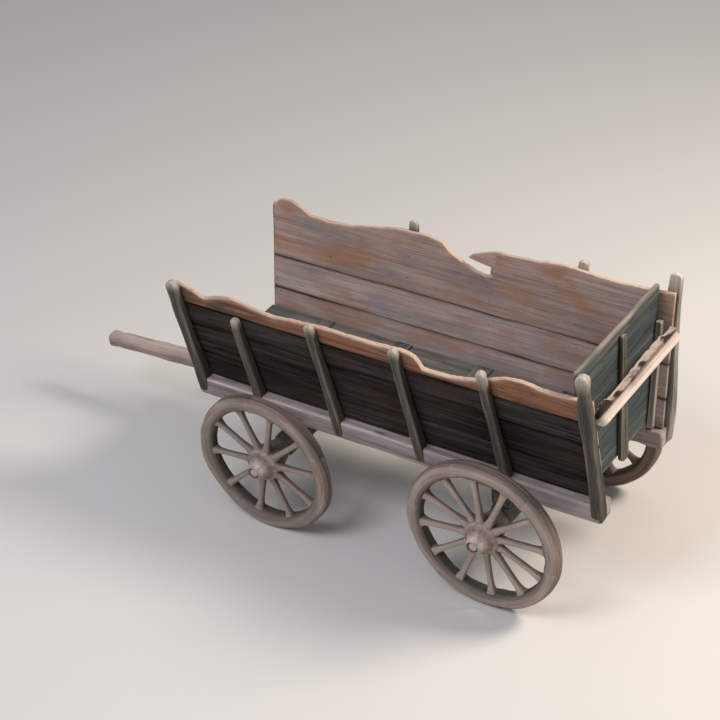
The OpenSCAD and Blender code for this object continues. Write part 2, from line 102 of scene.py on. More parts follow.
class Carving:
    def __init__(self):
        self.points, self.grain, self.wear, self.tone = [], [], [], []
        self.inside, self.shade, self.faces = [], [], []
        self.total = 0

    def addShape(self, points, faces, grain, wear, tone, inside=0.0, shade=0.0):
        # faces are rows of four corners; a triangle repeats its last corner
        a, b, c = points[faces[:, 0]], points[faces[:, 1]], points[faces[:, 2]]
        d = points[faces[:, 3]]
        volume = np.einsum("ij,ij->", a, np.cross(b, c)) + np.einsum("ij,ij->", a, np.cross(c, d))
        if volume < 0:
            faces = faces[:, ::-1]
            flat = faces[:, 0] == faces[:, 1]
            faces[flat] = np.roll(faces[flat], -2, axis=1)
        self.points.append(points)
        self.faces.append(faces + self.total)
        self.grain.append(grain)
        self.wear.append(np.clip(wear, 0, 1))
        self.tone.append(np.full(len(points), float(tone)))
        self.inside.append(np.broadcast_to(inside, len(points)))
        self.shade.append(np.broadcast_to(shade, len(points)))
        self.total += len(points)

    def addRings(self, rings, grain, wear, tone, inside=None, shade=None):
        count, around = rings.shape[:2]
        points = rings.reshape(-1, 3)
        coords = grain.reshape(-1, 3)
        worn = wear.reshape(-1)
        middles = np.array([rings[0].mean(0), rings[-1].mean(0)])
        points = np.concatenate([points, middles])
        coords = np.concatenate([coords, [grain[0].mean(0), grain[-1].mean(0)]])
        worn = np.concatenate([worn, [wear[0].mean(), wear[-1].mean()]])
        turned = 0.0 if inside is None else np.concatenate([inside.reshape(-1), [0.5, 0.5]])
        dark = 0.0 if shade is None else np.concatenate([shade.reshape(-1), [0, 0]])
        j = np.arange(around)
        k = (j + 1) % around
        rows = (np.arange(count - 1) * around)[:, None]
        sides = np.stack([rows + j, rows + k, rows + around + k, rows + around + j], -1)
        sides = sides.reshape(-1, 4)
        first, last = count * around, count * around + 1
        end = (count - 1) * around
        startCap = np.stack([k, j, np.full(around, first), np.full(around, first)], -1)
        endCap = np.stack([end + j, end + k, np.full(around, last), np.full(around, last)], -1)
        self.addShape(points, np.concatenate([sides, startCap, endCap]), coords, worn, tone,
                      turned, dark)

    def toMesh(self, name):
        points = np.concatenate(self.points)
        faces = np.concatenate(self.faces)
        isTri = faces[:, 2] == faces[:, 3]
        sizes = np.where(isTri, 3, 4)
        starts = np.concatenate([[0], np.cumsum(sizes)[:-1]])
        keep = np.ones(faces.shape, bool)
        keep[isTri, 3] = False
        corners = faces[keep]
        mesh = bpy.data.meshes.new(name)
        mesh.vertices.add(len(points))
        mesh.vertices.foreach_set("co", points.astype(np.float32).ravel())
        mesh.loops.add(len(corners))
        mesh.loops.foreach_set("vertex_index", corners.astype(np.int32))
        mesh.polygons.add(len(faces))
        mesh.polygons.foreach_set("loop_start", starts.astype(np.int32))
        mesh.polygons.foreach_set("use_smooth", np.ones(len(faces), bool))
        mesh.update(calc_edges=True)
        for key, kind, values, field in (
            ("grain", "FLOAT_VECTOR", np.concatenate(self.grain), "vector"),
            ("wear", "FLOAT", np.concatenate(self.wear), "value"),
            ("tone", "FLOAT", np.concatenate(self.tone), "value"),
            ("inside", "FLOAT", np.concatenate(self.inside), "value"),
            ("shade", "FLOAT", np.concatenate(self.shade), "value"),
        ):
            layer = mesh.attributes.new(key, kind, "POINT")
            layer.data.foreach_set(field, values.astype(np.float32).ravel())
        mesh.validate()
        return mesh


def fractions(width, cell, corner):
    # places along one side from -1 to 1, closer together near both corners
    edge = min(0.45, 2 * corner / width)
    count = max(1, int(round(width * (1 - edge) / cell)))
    inner = np.linspace(-1 + edge, 1 - edge, count + 1)
    rows = np.concatenate([[-1, -1 + 0.4 * edge], inner, [1 - 0.4 * edge, 1]])
    return np.unique(np.round(rows, 6))


def timber(carving, s, a, b, place, look, seed, edges=None, top=0.0, tone=None):
    # A squared timber along s, between a[0]..a[1] and b[0]..b[1], which may change with s.
    # place turns (s, a, b) into the row's coordinates. edges gives how bright each of the four long
    # corners is painted with the worn colour, in the order a0b0, a1b0, a1b1, a0b1: wear, and on the
    # sill's outer top corner a painted highlight as well.
    s = np.asarray(s, float)
    sides = [np.broadcast_to(np.asarray(v, float), s.shape) for v in (*a, *b)]
    rounds = look.get("ends", (look["round"], look["round"]))
    angles = np.radians([90, 60, 30, 0])
    r0, r1 = rounds
    inner = s[(s > s[0] + 1.2 * r0) & (s < s[-1] - 1.2 * r1)]
    stations = np.concatenate([
        [s[0]] * 2, s[0] + r0 * (1 - np.sin(angles)), inner,
        s[-1] - r1 * (1 - np.sin(angles[::-1])), [s[-1]] * 2,
    ])
    inset = np.concatenate([
        [r0] * 2, r0 * (1 - np.cos(angles)), 0 * inner, r1 * (1 - np.cos(angles[::-1])), [r1] * 2,
    ])
    shrink = np.ones(len(stations))
    shrink[[0, -1]], shrink[[1, -2]] = 0.35, 0.7
    a0, a1, b0, b1 = (np.interp(stations, s, v) for v in sides)
    wide, high = np.mean(sides[1] - sides[0]), np.mean(sides[3] - sides[2])
    fa = fractions(wide, look["cell"], look["round"])
    fb = fractions(high, look["cell"], look["round"])
    ua = np.concatenate([fa[:-1], np.ones(len(fb) - 1), fa[:0:-1], -np.ones(len(fb) - 1)])
    ub = np.concatenate([-np.ones(len(fa) - 1), fb[:-1], np.ones(len(fa) - 1), fb[:0:-1]])
    ca, cb = ((a0 + a1) / 2)[:, None], ((b0 + b1) / 2)[:, None]
    ha = np.maximum((a1 - a0) / 2 - inset, 0.002)[:, None]
    hb = np.maximum((b1 - b0) / 2 - inset, 0.002)[:, None]
    pa, pb = ua * ha, ub * hb
    corner = (ua > 0) * 1 + (ub > 0) * 2  # a0b0, a1b0, a0b1, a1b1
    long = stations[:, None]
    # corners are worn unevenly, with a few long bites
    fade = 1.0
    if "fade" in look:
        fade = np.clip(np.minimum(long - s[0], s[-1] - long) / look["fade"], 0, 1)
        fade = fade * fade * (3 - 2 * fade)
    chips = fade * grainNoise(long, corner * 3.0, 0, (5, 1, 1), seed)
    bites = fade * np.clip(grainNoise(long, corner * 5.0, 1, (11, 1, 1), seed + 3) - 0.35, 0, 1)
    radius = look["round"] * (1 + 0.45 * chips + look.get("bite", 1.2) * bites)
    radius = np.minimum(radius, 0.92 * np.minimum(ha, hb))
    qa = np.clip(pa, -(ha - radius), ha - radius)
    qb = np.clip(pb, -(hb - radius), hb - radius)
    va, vb = pa - qa, pb - qb
    size = np.maximum(np.hypot(va, vb), 1e-9)
    na, nb = va / size, vb / size
    pa, pb = qa + na * radius, qb + nb * radius
    ga, gb = ca + pa, cb + pb
    hollow = 0.5 + 0.5 * grainNoise(long, ga, gb, (2.2, 14, 14), seed + 11)
    ridges = np.abs(grainNoise(long, ga, gb, (1.6, 62, 62), seed + 17))
    fine = grainNoise(long, ga, gb, (5, 105, 105), seed + 23)
    depth = look["hollow"] * (0.5 + fade * (hollow - 0.5))
    depth = depth + fade * look["ridge"] * (ridges + 0.35 * fine)
    pa, pb = pa - na * depth, pb - nb * depth
    pa, pb = pa * shrink[:, None], pb * shrink[:, None]
    bend = fade * look.get("warp", 0.0015)
    wa = ca + pa + bend * grainNoise(long, 0, 0, (1.3, 1, 1), seed + 31)
    wb = cb + pb + bend * grainNoise(long, 0, 9, (1.3, 1, 1), seed + 37)
    raggedStart, raggedEnd = np.broadcast_to(look.get("ragged", 0.002), 2)
    order = np.arange(len(stations))
    ends = raggedStart * (order < 5) - raggedEnd * (order > len(stations) - 6)
    push = (0.5 + 0.5 * grainNoise(0, wa, wb, (1, 45, 45), seed + 41)) * ends[:, None]
    rings = np.stack(place(long + push, wa, wb), -1)
    shift = 0.37 * (seed % 97)
    grain = np.stack(np.broadcast_arrays(long + shift, ga + 0.61 * (seed % 13), gb), -1)
    near = np.exp(-(ha - np.abs(pa)) / 0.007) * np.exp(-(hb - np.abs(pb)) / 0.007)
    near = np.clip(near * 1.6, 0, 1)
    bright = np.array(edges or (0.6,) * 4)[np.array([0, 1, 3, 2])[corner]]
    wear = near * bright + top * np.exp(-(hb - pb) / 0.012)
    wear = wear + look.get("endWear", 0.35) * (shrink < 1)[:, None]
    wear = wear * (0.75 + 0.5 * grainNoise(long, ga, gb, (7, 30, 30), seed + 43))
    if tone is None:
        tone = lattice(seed * 5 + 1, 3, 7, 11)
    turnedIn = look.get("insideFrom", -1.0)  # 1 is the inner face, -1 the outer one
    inside = np.clip((-pa / ha - turnedIn) / (1 - turnedIn), 0, 1)
    # painted shade: the shade attribute darkens the colour along a board's low and high edges,
    # where boards meet
    lowSeam, highSeam = look.get("seams", (0, 0))
    shade = lowSeam * np.exp(-(hb + pb) / 0.008) + highSeam * np.exp(-(hb - pb) / 0.008)
    shade = np.clip(shade * (0.8 + 0.6 * grainNoise(long, 0, 5, (4, 1, 1), seed + 47)), 0, 1)
    wear = wear + look.get("footWear", 0) * inside * np.exp(-np.abs(hb + pb - 0.03) / 0.018)
    carving.addRings(rings, grain, wear, tone, inside, shade)


# ---- materials

def linear(code):
    parts = [int(code[i:i + 2], 16) / 255 for i in (1, 3, 5)]
    return [v / 12.92 if v <= 0.04045 else ((v + 0.055) / 1.055) ** 2.4 for v in parts] + [1.0]


def addNode(tree, kind, settings=None, inputs=None):
    # an input is a value, a socket, or a node that stands for its first output in use
    node = tree.nodes.new(kind)
    for key, value in (settings or {}).items():
        setattr(node, key, value)
    for key, value in (inputs or {}).items():
        if isinstance(value, bpy.types.Node):
            value = next(socket for socket in value.outputs if socket.enabled)
        if isinstance(value, bpy.types.NodeSocket):
            tree.links.new(value, node.inputs[key])
        else:
            node.inputs[key].default_value = value
    return node


# Colours of the bare weathered timbers: dark grooves, body and light fibres, then the stains and
# the worn edges over them. inner holds painted light and shade for a piece's inner face: paler on
# the side boards, darker on the felloes.
# streak is the width of a raised fibre, band that of a growth band, in millimetres.
timbers = {
    "paleOak": dict(dark="#6f6059", body="#a8948a", light="#c8b5aa", stain="#6b6a66",
                    worn="#eadbd0", stains=0.45, streak=5, band=34, crack=0.55),
    "wheelOak": dict(dark="#2f2a26", body="#6f5e55", light="#a08c80", stain="#41463f",
                     worn="#e6d4c8", stains=0.6, streak=6, band=40, crack=0.35),
    "rimOak": dict(dark="#352e29", body="#77655b", light="#a89387", stain="#4a4b44",
                   worn="#efdfd3", stains=0.55, streak=6, band=40, crack=0.35,
                   # painted shade: darker greenish colours for the felloes' inner rims
                   inner=dict(dark="#1f211d", body="#40423a", light="#5e5c52", stain="#2f3935",
                              warm="#54473c")),
    "sillOak": dict(dark="#57504d", body="#96898a", light="#bbaaa6", stain="#5f6361",
                    worn="#e6dbd0", stains=0.5, streak=6, band=40, crack=0.7),
    "stakeAsh": dict(dark="#26231e", body="#504c44", light="#7c7467", stain="#3f433d",
                     worn="#cbbfae", stains=0.6, streak=5, band=26, crack=0.6),
    "greyPost": dict(dark="#4d4c48", body="#85817a", light="#aaa498", stain="#66706d",
                     worn="#d6ccbd", stains=0.5, streak=5, band=28, crack=0.6),
    # painted shade: the near-black outer colours stand for the shade on the outward-leaning outer
    # faces, which face downward; inner is the lit copy of the same wood
    "darkBoard": dict(dark="#050707", body="#0f1413", light="#1f2421", stain="#332013",
                      worn="#62574c", stains=0.6, streak=6, band=30, crack=0.9, sheen=0.06,
                      inner=dict(dark="#77675f", body="#b29f97", light="#cfc0b8", stain="#8d8b8f",
                                 warm="#a98775")),
    "topBoard": dict(dark="#43291c", body="#835a40", light="#a97a59", stain="#35302a",
                     worn="#cdb09c", stains=0.7, streak=6, band=30, crack=0.8,
                     # painted light: paler inner colours for the inner face, which takes the light
                     # from above
                     inner=dict(dark="#7b675f", body="#b69d92", light="#d2bcb0", stain="#928b8b",
                                warm="#b48463")),
    "floorPlank": dict(dark="#3e4043", body="#68675f", light="#8c867d", stain="#4a5455",
                       worn="#b3aa9e", stains=0.5, streak=6, band=34, crack=0.8),
    "tailBoard": dict(dark="#1d2424", body="#3b4443", light="#5a625e", stain="#3d3e38",
                      worn="#b3a295", stains=0.5, streak=5, band=26, crack=0.8),
    "underTimber": dict(dark="#2c2c2b", body="#55534f", light="#74716b", stain="#3c4140",
                        worn="#cbb9ad", stains=0.5, streak=6, band=36, crack=0.7),
}


def grainRamp(tree, share, look):
    ramp = addNode(tree, "ShaderNodeValToRGB", {}, {"Fac": share})
    stops = ramp.color_ramp.elements
    stops[0].position, stops[0].color = 0.30, linear(look["dark"])
    stops[1].position, stops[1].color = 0.70, linear(look["light"])
    middle = stops.new(0.49)
    middle.color = linear(look["body"])
    return ramp.outputs["Color"]


def stainedWood(tree, share, amount, look):
    return addNode(tree, "ShaderNodeMix", {"data_type": "RGBA", "blend_type": "MIX"},
                   {0: amount, 6: grainRamp(tree, share, look), 7: linear(look["stain"])})


def oldTimber(name, look):
    # Bare sawn timber, greyed by rain: a matt surface, raised fibres, drying cracks along the
    # grain, and pale smooth wood where loads and hands have rubbed it. The same pale colour also
    # paints highlights, and the shade attribute paints shade.
    material = bpy.data.materials.new(name)
    material.use_nodes = True
    tree = material.node_tree
    tree.nodes.clear()
    grain = addNode(tree, "ShaderNodeAttribute", {"attribute_name": "grain"}).outputs["Vector"]
    wear = addNode(tree, "ShaderNodeAttribute", {"attribute_name": "wear"}).outputs["Fac"]
    tone = addNode(tree, "ShaderNodeAttribute", {"attribute_name": "tone"}).outputs["Fac"]
    fibre = 1000 / look["streak"]
    band = 1000 / look["band"]
    fields = {}
    for key, scale, detail, rough in (
        ("fibre", (3.0, fibre, fibre), 4, 0.65),
        ("band", (0.8, band, band), 3, 0.5),
        ("patch", (2.2, 6.0, 6.0), 4, 0.6),
        ("check", (1.5, fibre * 0.42, fibre * 0.42), 2, 0.4),
        ("breaks", (4.0, 20.0, 20.0), 2, 0.5),
        ("grit", (120.0, 500.0, 500.0), 2, 0.5),
    ):
        spread = addNode(tree, "ShaderNodeVectorMath", {"operation": "MULTIPLY"},
                         {0: grain, 1: scale})
        fields[key] = addNode(
            tree, "ShaderNodeTexNoise", {},
            {"Vector": spread, "Scale": 1.0, "Detail": detail, "Roughness": rough},
        ).outputs["Fac"]
    bands = addNode(tree, "ShaderNodeMath", {"operation": "MULTIPLY"}, {0: fields["band"], 1: 0.4})
    mixed = addNode(tree, "ShaderNodeMath", {"operation": "MULTIPLY_ADD"},
                    {0: fields["fibre"], 1: 0.6, 2: bands})
    patches = addNode(tree, "ShaderNodeMapRange", {"interpolation_type": "SMOOTHSTEP"},
                      {"Value": fields["patch"], "From Min": 0.47, "From Max": 0.68,
                       "To Min": 0.0, "To Max": look["stains"]})
    stained = stainedWood(tree, mixed, patches, look)
    if "inner" in look:
        # painted light and shade: the inner face gets its own colours, paler and warmer than the
        # outer one on the side boards, whose inner faces take the light from above, and darker on
        # the felloes' inner rims
        inside = addNode(tree, "ShaderNodeAttribute", {"attribute_name": "inside"}).outputs["Fac"]
        innerLitShaded = stainedWood(tree, mixed, patches, look["inner"])
        spread = addNode(tree, "ShaderNodeVectorMath", {"operation": "MULTIPLY"},
                         {0: grain, 1: (2.6, 5.0, 5.0)})
        cloud = addNode(tree, "ShaderNodeTexNoise", {},
                        {"Vector": spread, "Scale": 1.0, "Detail": 3.0}).outputs["Fac"]
        warm = addNode(tree, "ShaderNodeMapRange", {"interpolation_type": "SMOOTHSTEP"},
                       {"Value": cloud, "From Min": 0.46, "From Max": 0.66,
                        "To Min": 0.0, "To Max": 0.75})
        innerLitShaded = addNode(tree, "ShaderNodeMix", {"data_type": "RGBA", "blend_type": "MIX"},
                            {0: warm, 6: innerLitShaded, 7: linear(look["inner"]["warm"])})
        stained = addNode(tree, "ShaderNodeMix", {"data_type": "RGBA", "blend_type": "MIX"},
                          {0: inside, 6: stained, 7: innerLitShaded})
    lift = addNode(tree, "ShaderNodeMath", {"operation": "MULTIPLY_ADD"},
                   {0: tone, 1: 0.16, 2: 1.0})
    toned = addNode(tree, "ShaderNodeVectorMath", {"operation": "SCALE"},
                    {0: stained, "Scale": lift})
    # checks: thin dark lines where one contour of the noise runs along the grain
    offset = addNode(tree, "ShaderNodeMath", {"operation": "SUBTRACT"},
                     {0: fields["check"], 1: 0.5})
    distance = addNode(tree, "ShaderNodeMath", {"operation": "ABSOLUTE"}, {0: offset})
    line = addNode(tree, "ShaderNodeMapRange", {"interpolation_type": "SMOOTHSTEP"},
                   {"Value": distance, "From Min": 0.004, "From Max": 0.022,
                    "To Min": 1.0, "To Max": 0.0})
    gaps = addNode(tree, "ShaderNodeMapRange", {"interpolation_type": "SMOOTHSTEP"},
                   {"Value": fields["breaks"], "From Min": 0.46, "From Max": 0.60,
                    "To Min": 0.0, "To Max": look["crack"]})
    check = addNode(tree, "ShaderNodeMath", {"operation": "MULTIPLY"},
                    {0: line, 1: gaps})
    if "inner" in look:
        calm = addNode(tree, "ShaderNodeMath", {"operation": "MULTIPLY_ADD"},
                       {0: inside, 1: -0.75, 2: 1.0})
        check = addNode(tree, "ShaderNodeMath", {"operation": "MULTIPLY"},
                        {0: check, 1: calm})
    checked = addNode(tree, "ShaderNodeMix", {"data_type": "RGBA", "blend_type": "MULTIPLY"},
                      {0: check, 6: toned, 7: linear("#3a3431")})
    paleFibres = addNode(tree, "ShaderNodeMapRange", {"interpolation_type": "SMOOTHSTEP"},
                  {"Value": fields["fibre"], "From Min": 0.25, "From Max": 0.6,
                   "To Min": 0.55, "To Max": 1.0})
    amount = addNode(tree, "ShaderNodeMath", {"operation": "MULTIPLY"}, {0: wear, 1: paleFibres})
    coloured = addNode(tree, "ShaderNodeMix", {"data_type": "RGBA", "blend_type": "MIX"},
                       {0: amount, 6: checked, 7: linear(look["worn"])})
    # painted shade: shade darkens the colour towards #4c4340 along the board seams and in the
    # crossbar's pits
    shade = addNode(tree, "ShaderNodeAttribute", {"attribute_name": "shade"}).outputs["Fac"]
    seamShadedColour = addNode(tree, "ShaderNodeMix", {"data_type": "RGBA", "blend_type": "MULTIPLY"},
                     {0: shade, 6: coloured, 7: linear("#4c4340")})
    rough = addNode(tree, "ShaderNodeMapRange", {},
                    {"Value": fields["grit"], "From Min": 0.3, "From Max": 0.7,
                     "To Min": 0.72, "To Max": 0.95})
    height = addNode(tree, "ShaderNodeMath", {"operation": "MULTIPLY_ADD"},
                     {0: check, 1: -1.4, 2: mixed})
    relief = addNode(tree, "ShaderNodeMath", {"operation": "MULTIPLY_ADD"},
                     {0: fields["grit"], 1: 0.12, 2: height})
    bump = addNode(tree, "ShaderNodeBump", {},
                   {"Height": relief, "Strength": 0.8, "Distance": 0.003})
    shader = addNode(tree, "ShaderNodeBsdfPrincipled", {},
                     {"Base Color": seamShadedColour, "Roughness": rough,
                      "Normal": bump, "IOR": 1.48,
                      "Specular IOR Level": look.get("sheen", 0.25)})
    addNode(tree, "ShaderNodeOutputMaterial", {}, {"Surface": shader})
    return material


wood = {name: oldTimber(name, look) for name, look in timbers.items()}

irons = dict(base="#3a3432", rust="#6b4534", bright="#5c5956", blotch=14, grit=2.5)  # mm


def wroughtIron(name, look):
    # Hammered wrought iron left outdoors: dark scale with dull brown rust, never shiny.
    material = bpy.data.materials.new(name)
    material.use_nodes = True
    tree = material.node_tree
    tree.nodes.clear()
    place = addNode(tree, "ShaderNodeTexCoord").outputs["Object"]
    blotch = addNode(tree, "ShaderNodeTexNoise", {},
                     {"Vector": place, "Scale": 1000 / look["blotch"], "Detail": 4.0})
    grit = addNode(tree, "ShaderNodeTexNoise", {},
                   {"Vector": place, "Scale": 1000 / look["grit"], "Detail": 2.0})
    ramp = addNode(tree, "ShaderNodeValToRGB", {}, {"Fac": blotch.outputs["Fac"]})
    ramp.color_ramp.elements[0].position = 0.40
    ramp.color_ramp.elements[0].color = linear(look["base"])
    ramp.color_ramp.elements[1].position = 0.62
    ramp.color_ramp.elements[1].color = linear(look["rust"])
    rough = addNode(tree, "ShaderNodeMapRange", {},
                    {"Value": blotch.outputs["Fac"], "From Min": 0.35, "From Max": 0.65,
                     "To Min": 0.55, "To Max": 0.92})
    bump = addNode(tree, "ShaderNodeBump", {},
                   {"Height": grit.outputs["Fac"], "Strength": 0.5, "Distance": 0.0006})
    shader = addNode(tree, "ShaderNodeBsdfPrincipled", {},
                     {"Base Color": ramp.outputs["Color"], "Roughness": rough,
                      "Metallic": 0.6, "Normal": bump.outputs["Normal"]})
    addNode(tree, "ShaderNodeOutputMaterial", {}, {"Surface": shader})
    return material


iron = wroughtIron("forgedIron", irons)
bodies = frame["record"]["behaviour"]["bodies"]
bodyOf = {node: body for body, names in bodies.items() for node in names}
slotOf = {part["node"]: part["material_slot"] for part in frame["record"]["subparts"]}


def finishPiece(mesh, node, material):
    # one visible piece for one CAD node, on the same body
    mesh.name = node + "_wood"
    piece = bpy.data.objects.new(node + "_wood", mesh)
    bpy.context.collection.objects.link(piece)
    mesh.materials.clear()
    mesh.materials.append(material)
    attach(piece, bodyOf[node])
    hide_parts(node)
    return piece


def finishCarving(carving, node, material):
    return finishPiece(carving.toMesh(node), node, material)


def steps(low, high, pitch):
    return np.linspace(low, high, max(2, int(round((high - low) / pitch)) + 1))


# ---- ways to place a timber in the row

def alongX(s, a, b):
    return s, a, b


def alongY(s, a, b):
    return a, s, b


def sidePlane(side):
    # s along the cart, a outwards from the boards' outer face, b up the slope
    def place(s, a, b):
        y = footY + a * cosFlare + b * sinFlare
        return s, side * y, sillTop - a * sinFlare + b * cosFlare
    return place


def leaningPost(side, middle, lean):
    # s up the slope, a along the cart, b outwards
    onSide = sidePlane(side)
    c, t = math.cos(math.radians(lean)), math.sin(math.radians(lean))

    def place(s, a, b):
        return onSide(middle + a * c + s * t, b, s * c - a * t)
    return place


def solidBoxes(node, turned=None):
    # the box of each separate solid of a CAD node, in the frame that turned gives
    mesh = nodes[node].data
    spots = np.zeros(len(mesh.vertices) * 3)
    mesh.vertices.foreach_get("co", spots)
    spots = spots.reshape(-1, 3)
    keys, same = np.unique(np.round(spots, 5), axis=0, return_inverse=True)
    same = same.reshape(-1)
    corners = np.zeros(len(mesh.loops), int)
    mesh.loops.foreach_get("vertex_index", corners)
    tris = same[corners].reshape(-1, 3)
    owner = np.arange(len(keys))
    while True:
        low = owner[tris].min(1)
        fresh = owner.copy()
        for i in range(3):
            np.minimum.at(fresh, tris[:, i], low)
        fresh = fresh[fresh]
        if (fresh == owner).all():
            break
        owner = fresh
    if turned is not None:
        keys = turned(keys)
    boxes = [(keys[owner == g].min(0), keys[owner == g].max(0)) for g in np.unique(owner)]
    return sorted(boxes, key=lambda box: tuple(np.round(box[0], 4)))


# ---- sills

sillLook = dict(cell=0.008, pitch=0.022, round=0.011, hollow=0.0035, ridge=0.0016, warp=0.002,
                ragged=0.006, bite=1.4)


def sillStations(box):
    return steps(box[0][0], box[1][0], sillLook["pitch"])


for node, side, seed in (("left_sill", left, 101), ("right_sill", right, 131)):
    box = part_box(node)
    carving = Carving()
    inner, outer = (box[0][1], box[1][1]) if side == left else (-box[1][1], -box[0][1])

    def place(s, a, b, side=side):
        return s, side * a, b

    # painted highlight: the outer top corner (1.0 in edges) takes the worn colour as a bright ridge
    # line
    timber(carving, sillStations(box), (inner, outer), (box[0][2], box[1][2]), place, sillLook,
           seed, edges=(0.1, 0.5, 1.0, 0.2), top=0.12)
    finishCarving(carving, node, wood["sillOak"])
print("sills carved")

# ---- side boards

boardLook = dict(cell=0.008, pitch=0.022, round=0.0055, hollow=0.0022, ridge=0.0018, warp=0.001,
                 ragged=(0.0004, 0.010), bite=1.5)  # sound at the rear, where the crossbar bears
# Worn top edges, front to rear: place along the boards (1 is the front end, -1 the rear
# end) and rise over the unworn wall, in millimetres
wornTops = {
    left: [(1, -25), (0.94, -48), (0.89, -88), (0.78, -38), (0.71, -24), (0.62, -54), (0.52, -70),
           (0.41, -54), (0.2, -36), (0, -42), (-0.13, -26), (-0.185, -38), (-0.21, -80),
           (-0.22, -124), (-0.27, -130), (-0.355, -124), (-0.49, -78), (-0.6, -8), (-0.69, 15),
           (-0.78, -8), (-0.93, 3), (-1, 12)],
    right: [(1, 5), (0.955, 62), (0.9, 66), (0.845, 36), (0.795, 0), (0.7, -9), (0.61, -2),
            (0.48, 28), (0.32, 68), (0.2, 74), (0.1, 56), (0.06, 6), (0, -36), (-0.085, -75),
            (-0.126, -82), (-0.168, -64), (-0.172, 80), (-0.325, 88), (-0.5, 112), (-0.66, 96),
            (-0.75, 92), (-1, 114)],
}
# The splinter over the right side's notch: place, low rise and high rise
splinter = [(-0.20, -80, 84), (-0.165, -34, 80), (-0.12, -25, 60), (-0.085, -18, 42),
            (-0.055, -11, 28), (-0.035, -6, 2)]
wallHeight = 0.749
boardFeet = (0.0, 0.192, 0.414, 0.584)
boardHeads = (0.1914, 0.4134, 0.5834)
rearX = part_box("right_board_1")[0][0]
halfBoard = (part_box("right_board_1")[1][0] - rearX) / 2
boardMid = rearX + halfBoard
tanEnd = math.tan(math.radians(plan["endLean"]))


def boardFront(side, height):
    return boardMid + halfBoard + (height * tanEnd if side == left else 0)


for side, word, count in ((left, "left", 4), (right, "right", 3)):
    for k in range(1, count + 1):
        node = f"{word}_board_{k}"
        seed = 200 + 20 * k + (7 if side == right else 0)
        carving = Carving()
        low = boardFeet[k - 1]
        topmost = k == count
        high = wallHeight if topmost else boardHeads[k - 1]
        front = boardFront(side, (low + high) / 2)
        s = steps(rearX, front, boardLook["pitch"])
        if topmost:
            worn = np.array(wornTops[side][::-1])
            high = wallHeight + np.interp((s - boardMid) / halfBoard, worn[:, 0], worn[:, 1]) / 1000
            high = high - 0.005 * np.abs(grainNoise(s, 0, 0, (26, 1, 1), seed))
        lean = tanEnd if side == left else 0.0

        def place(s, a, b, side=side, lean=lean, low=low, front=front):
            # the left boards' front ends follow the lean of the corner stake
            share = np.clip((s - rearX) / (front - rearX), 0, 1) ** 8
            middle = (low + high.max() if topmost else low + boardHeads[k - 1]) / 2
            return sidePlane(side)(s + (b - middle) * lean * share, a, b)

        look = dict(boardLook, seams=(0.0 if k == 1 else 1.0, 0.0 if topmost else 1.0),
                    footWear=0.8 if k == 1 else 0)
        timber(carving, s, (-plan["board"], 0), (low, high), place, look, seed,
               edges=(0.0, 0.0, 1, 1) if topmost else (0, 0, 0.05, 0.05),
               top=1.0 if topmost else 0.0)
        if topmost and side == right:
            horn = np.array(splinter)
            hs = boardMid + horn[:, 0] * halfBoard
            fineS = steps(hs[0], hs[-1], 0.010)
            timber(carving, fineS, (-plan["board"] * 0.9, -0.002),
                   (wallHeight + np.interp(fineS, hs, horn[:, 1]) / 1000,
                    wallHeight + np.interp(fineS, hs, horn[:, 2]) / 1000),
                   sidePlane(side), dict(boardLook, ends=(0.004, 0.004)), seed + 5,
                   edges=(0.8, 0.8, 1, 1), top=1.0, tone=0)
        finishCarving(carving, node, wood["topBoard" if topmost else "darkBoard"])
print("side boards carved")

# ---- stakes

stakeLook = dict(cell=0.007, pitch=0.016, round=0.013, hollow=0.005, ridge=0.0020, warp=0.0025,
                 ragged=0.006, bite=1.0, endWear=0.9)
stakeFoot, stakeHead = 0.078, 0.050  # depth of a stake at its foot and at its head


def stakeWidth(s, head, half, knob):
    # half width up the stake: a little waist, and a rounded knob on a gnarled one
    rise = head - s
    width = half * (1 + 0.05 * np.sin(9 * s + 1))
    if knob:
        width = width * (1 - 0.22 * np.exp(-((rise - 0.13) / 0.05) ** 2))
        width = width * (1 + 0.10 * np.exp(-((rise - 0.33) / 0.09) ** 2))
    return width * np.sqrt(np.clip(1 - np.clip(1 - rise / (0.9 * half), 0, 1) ** 2.4, 0.03, 1))


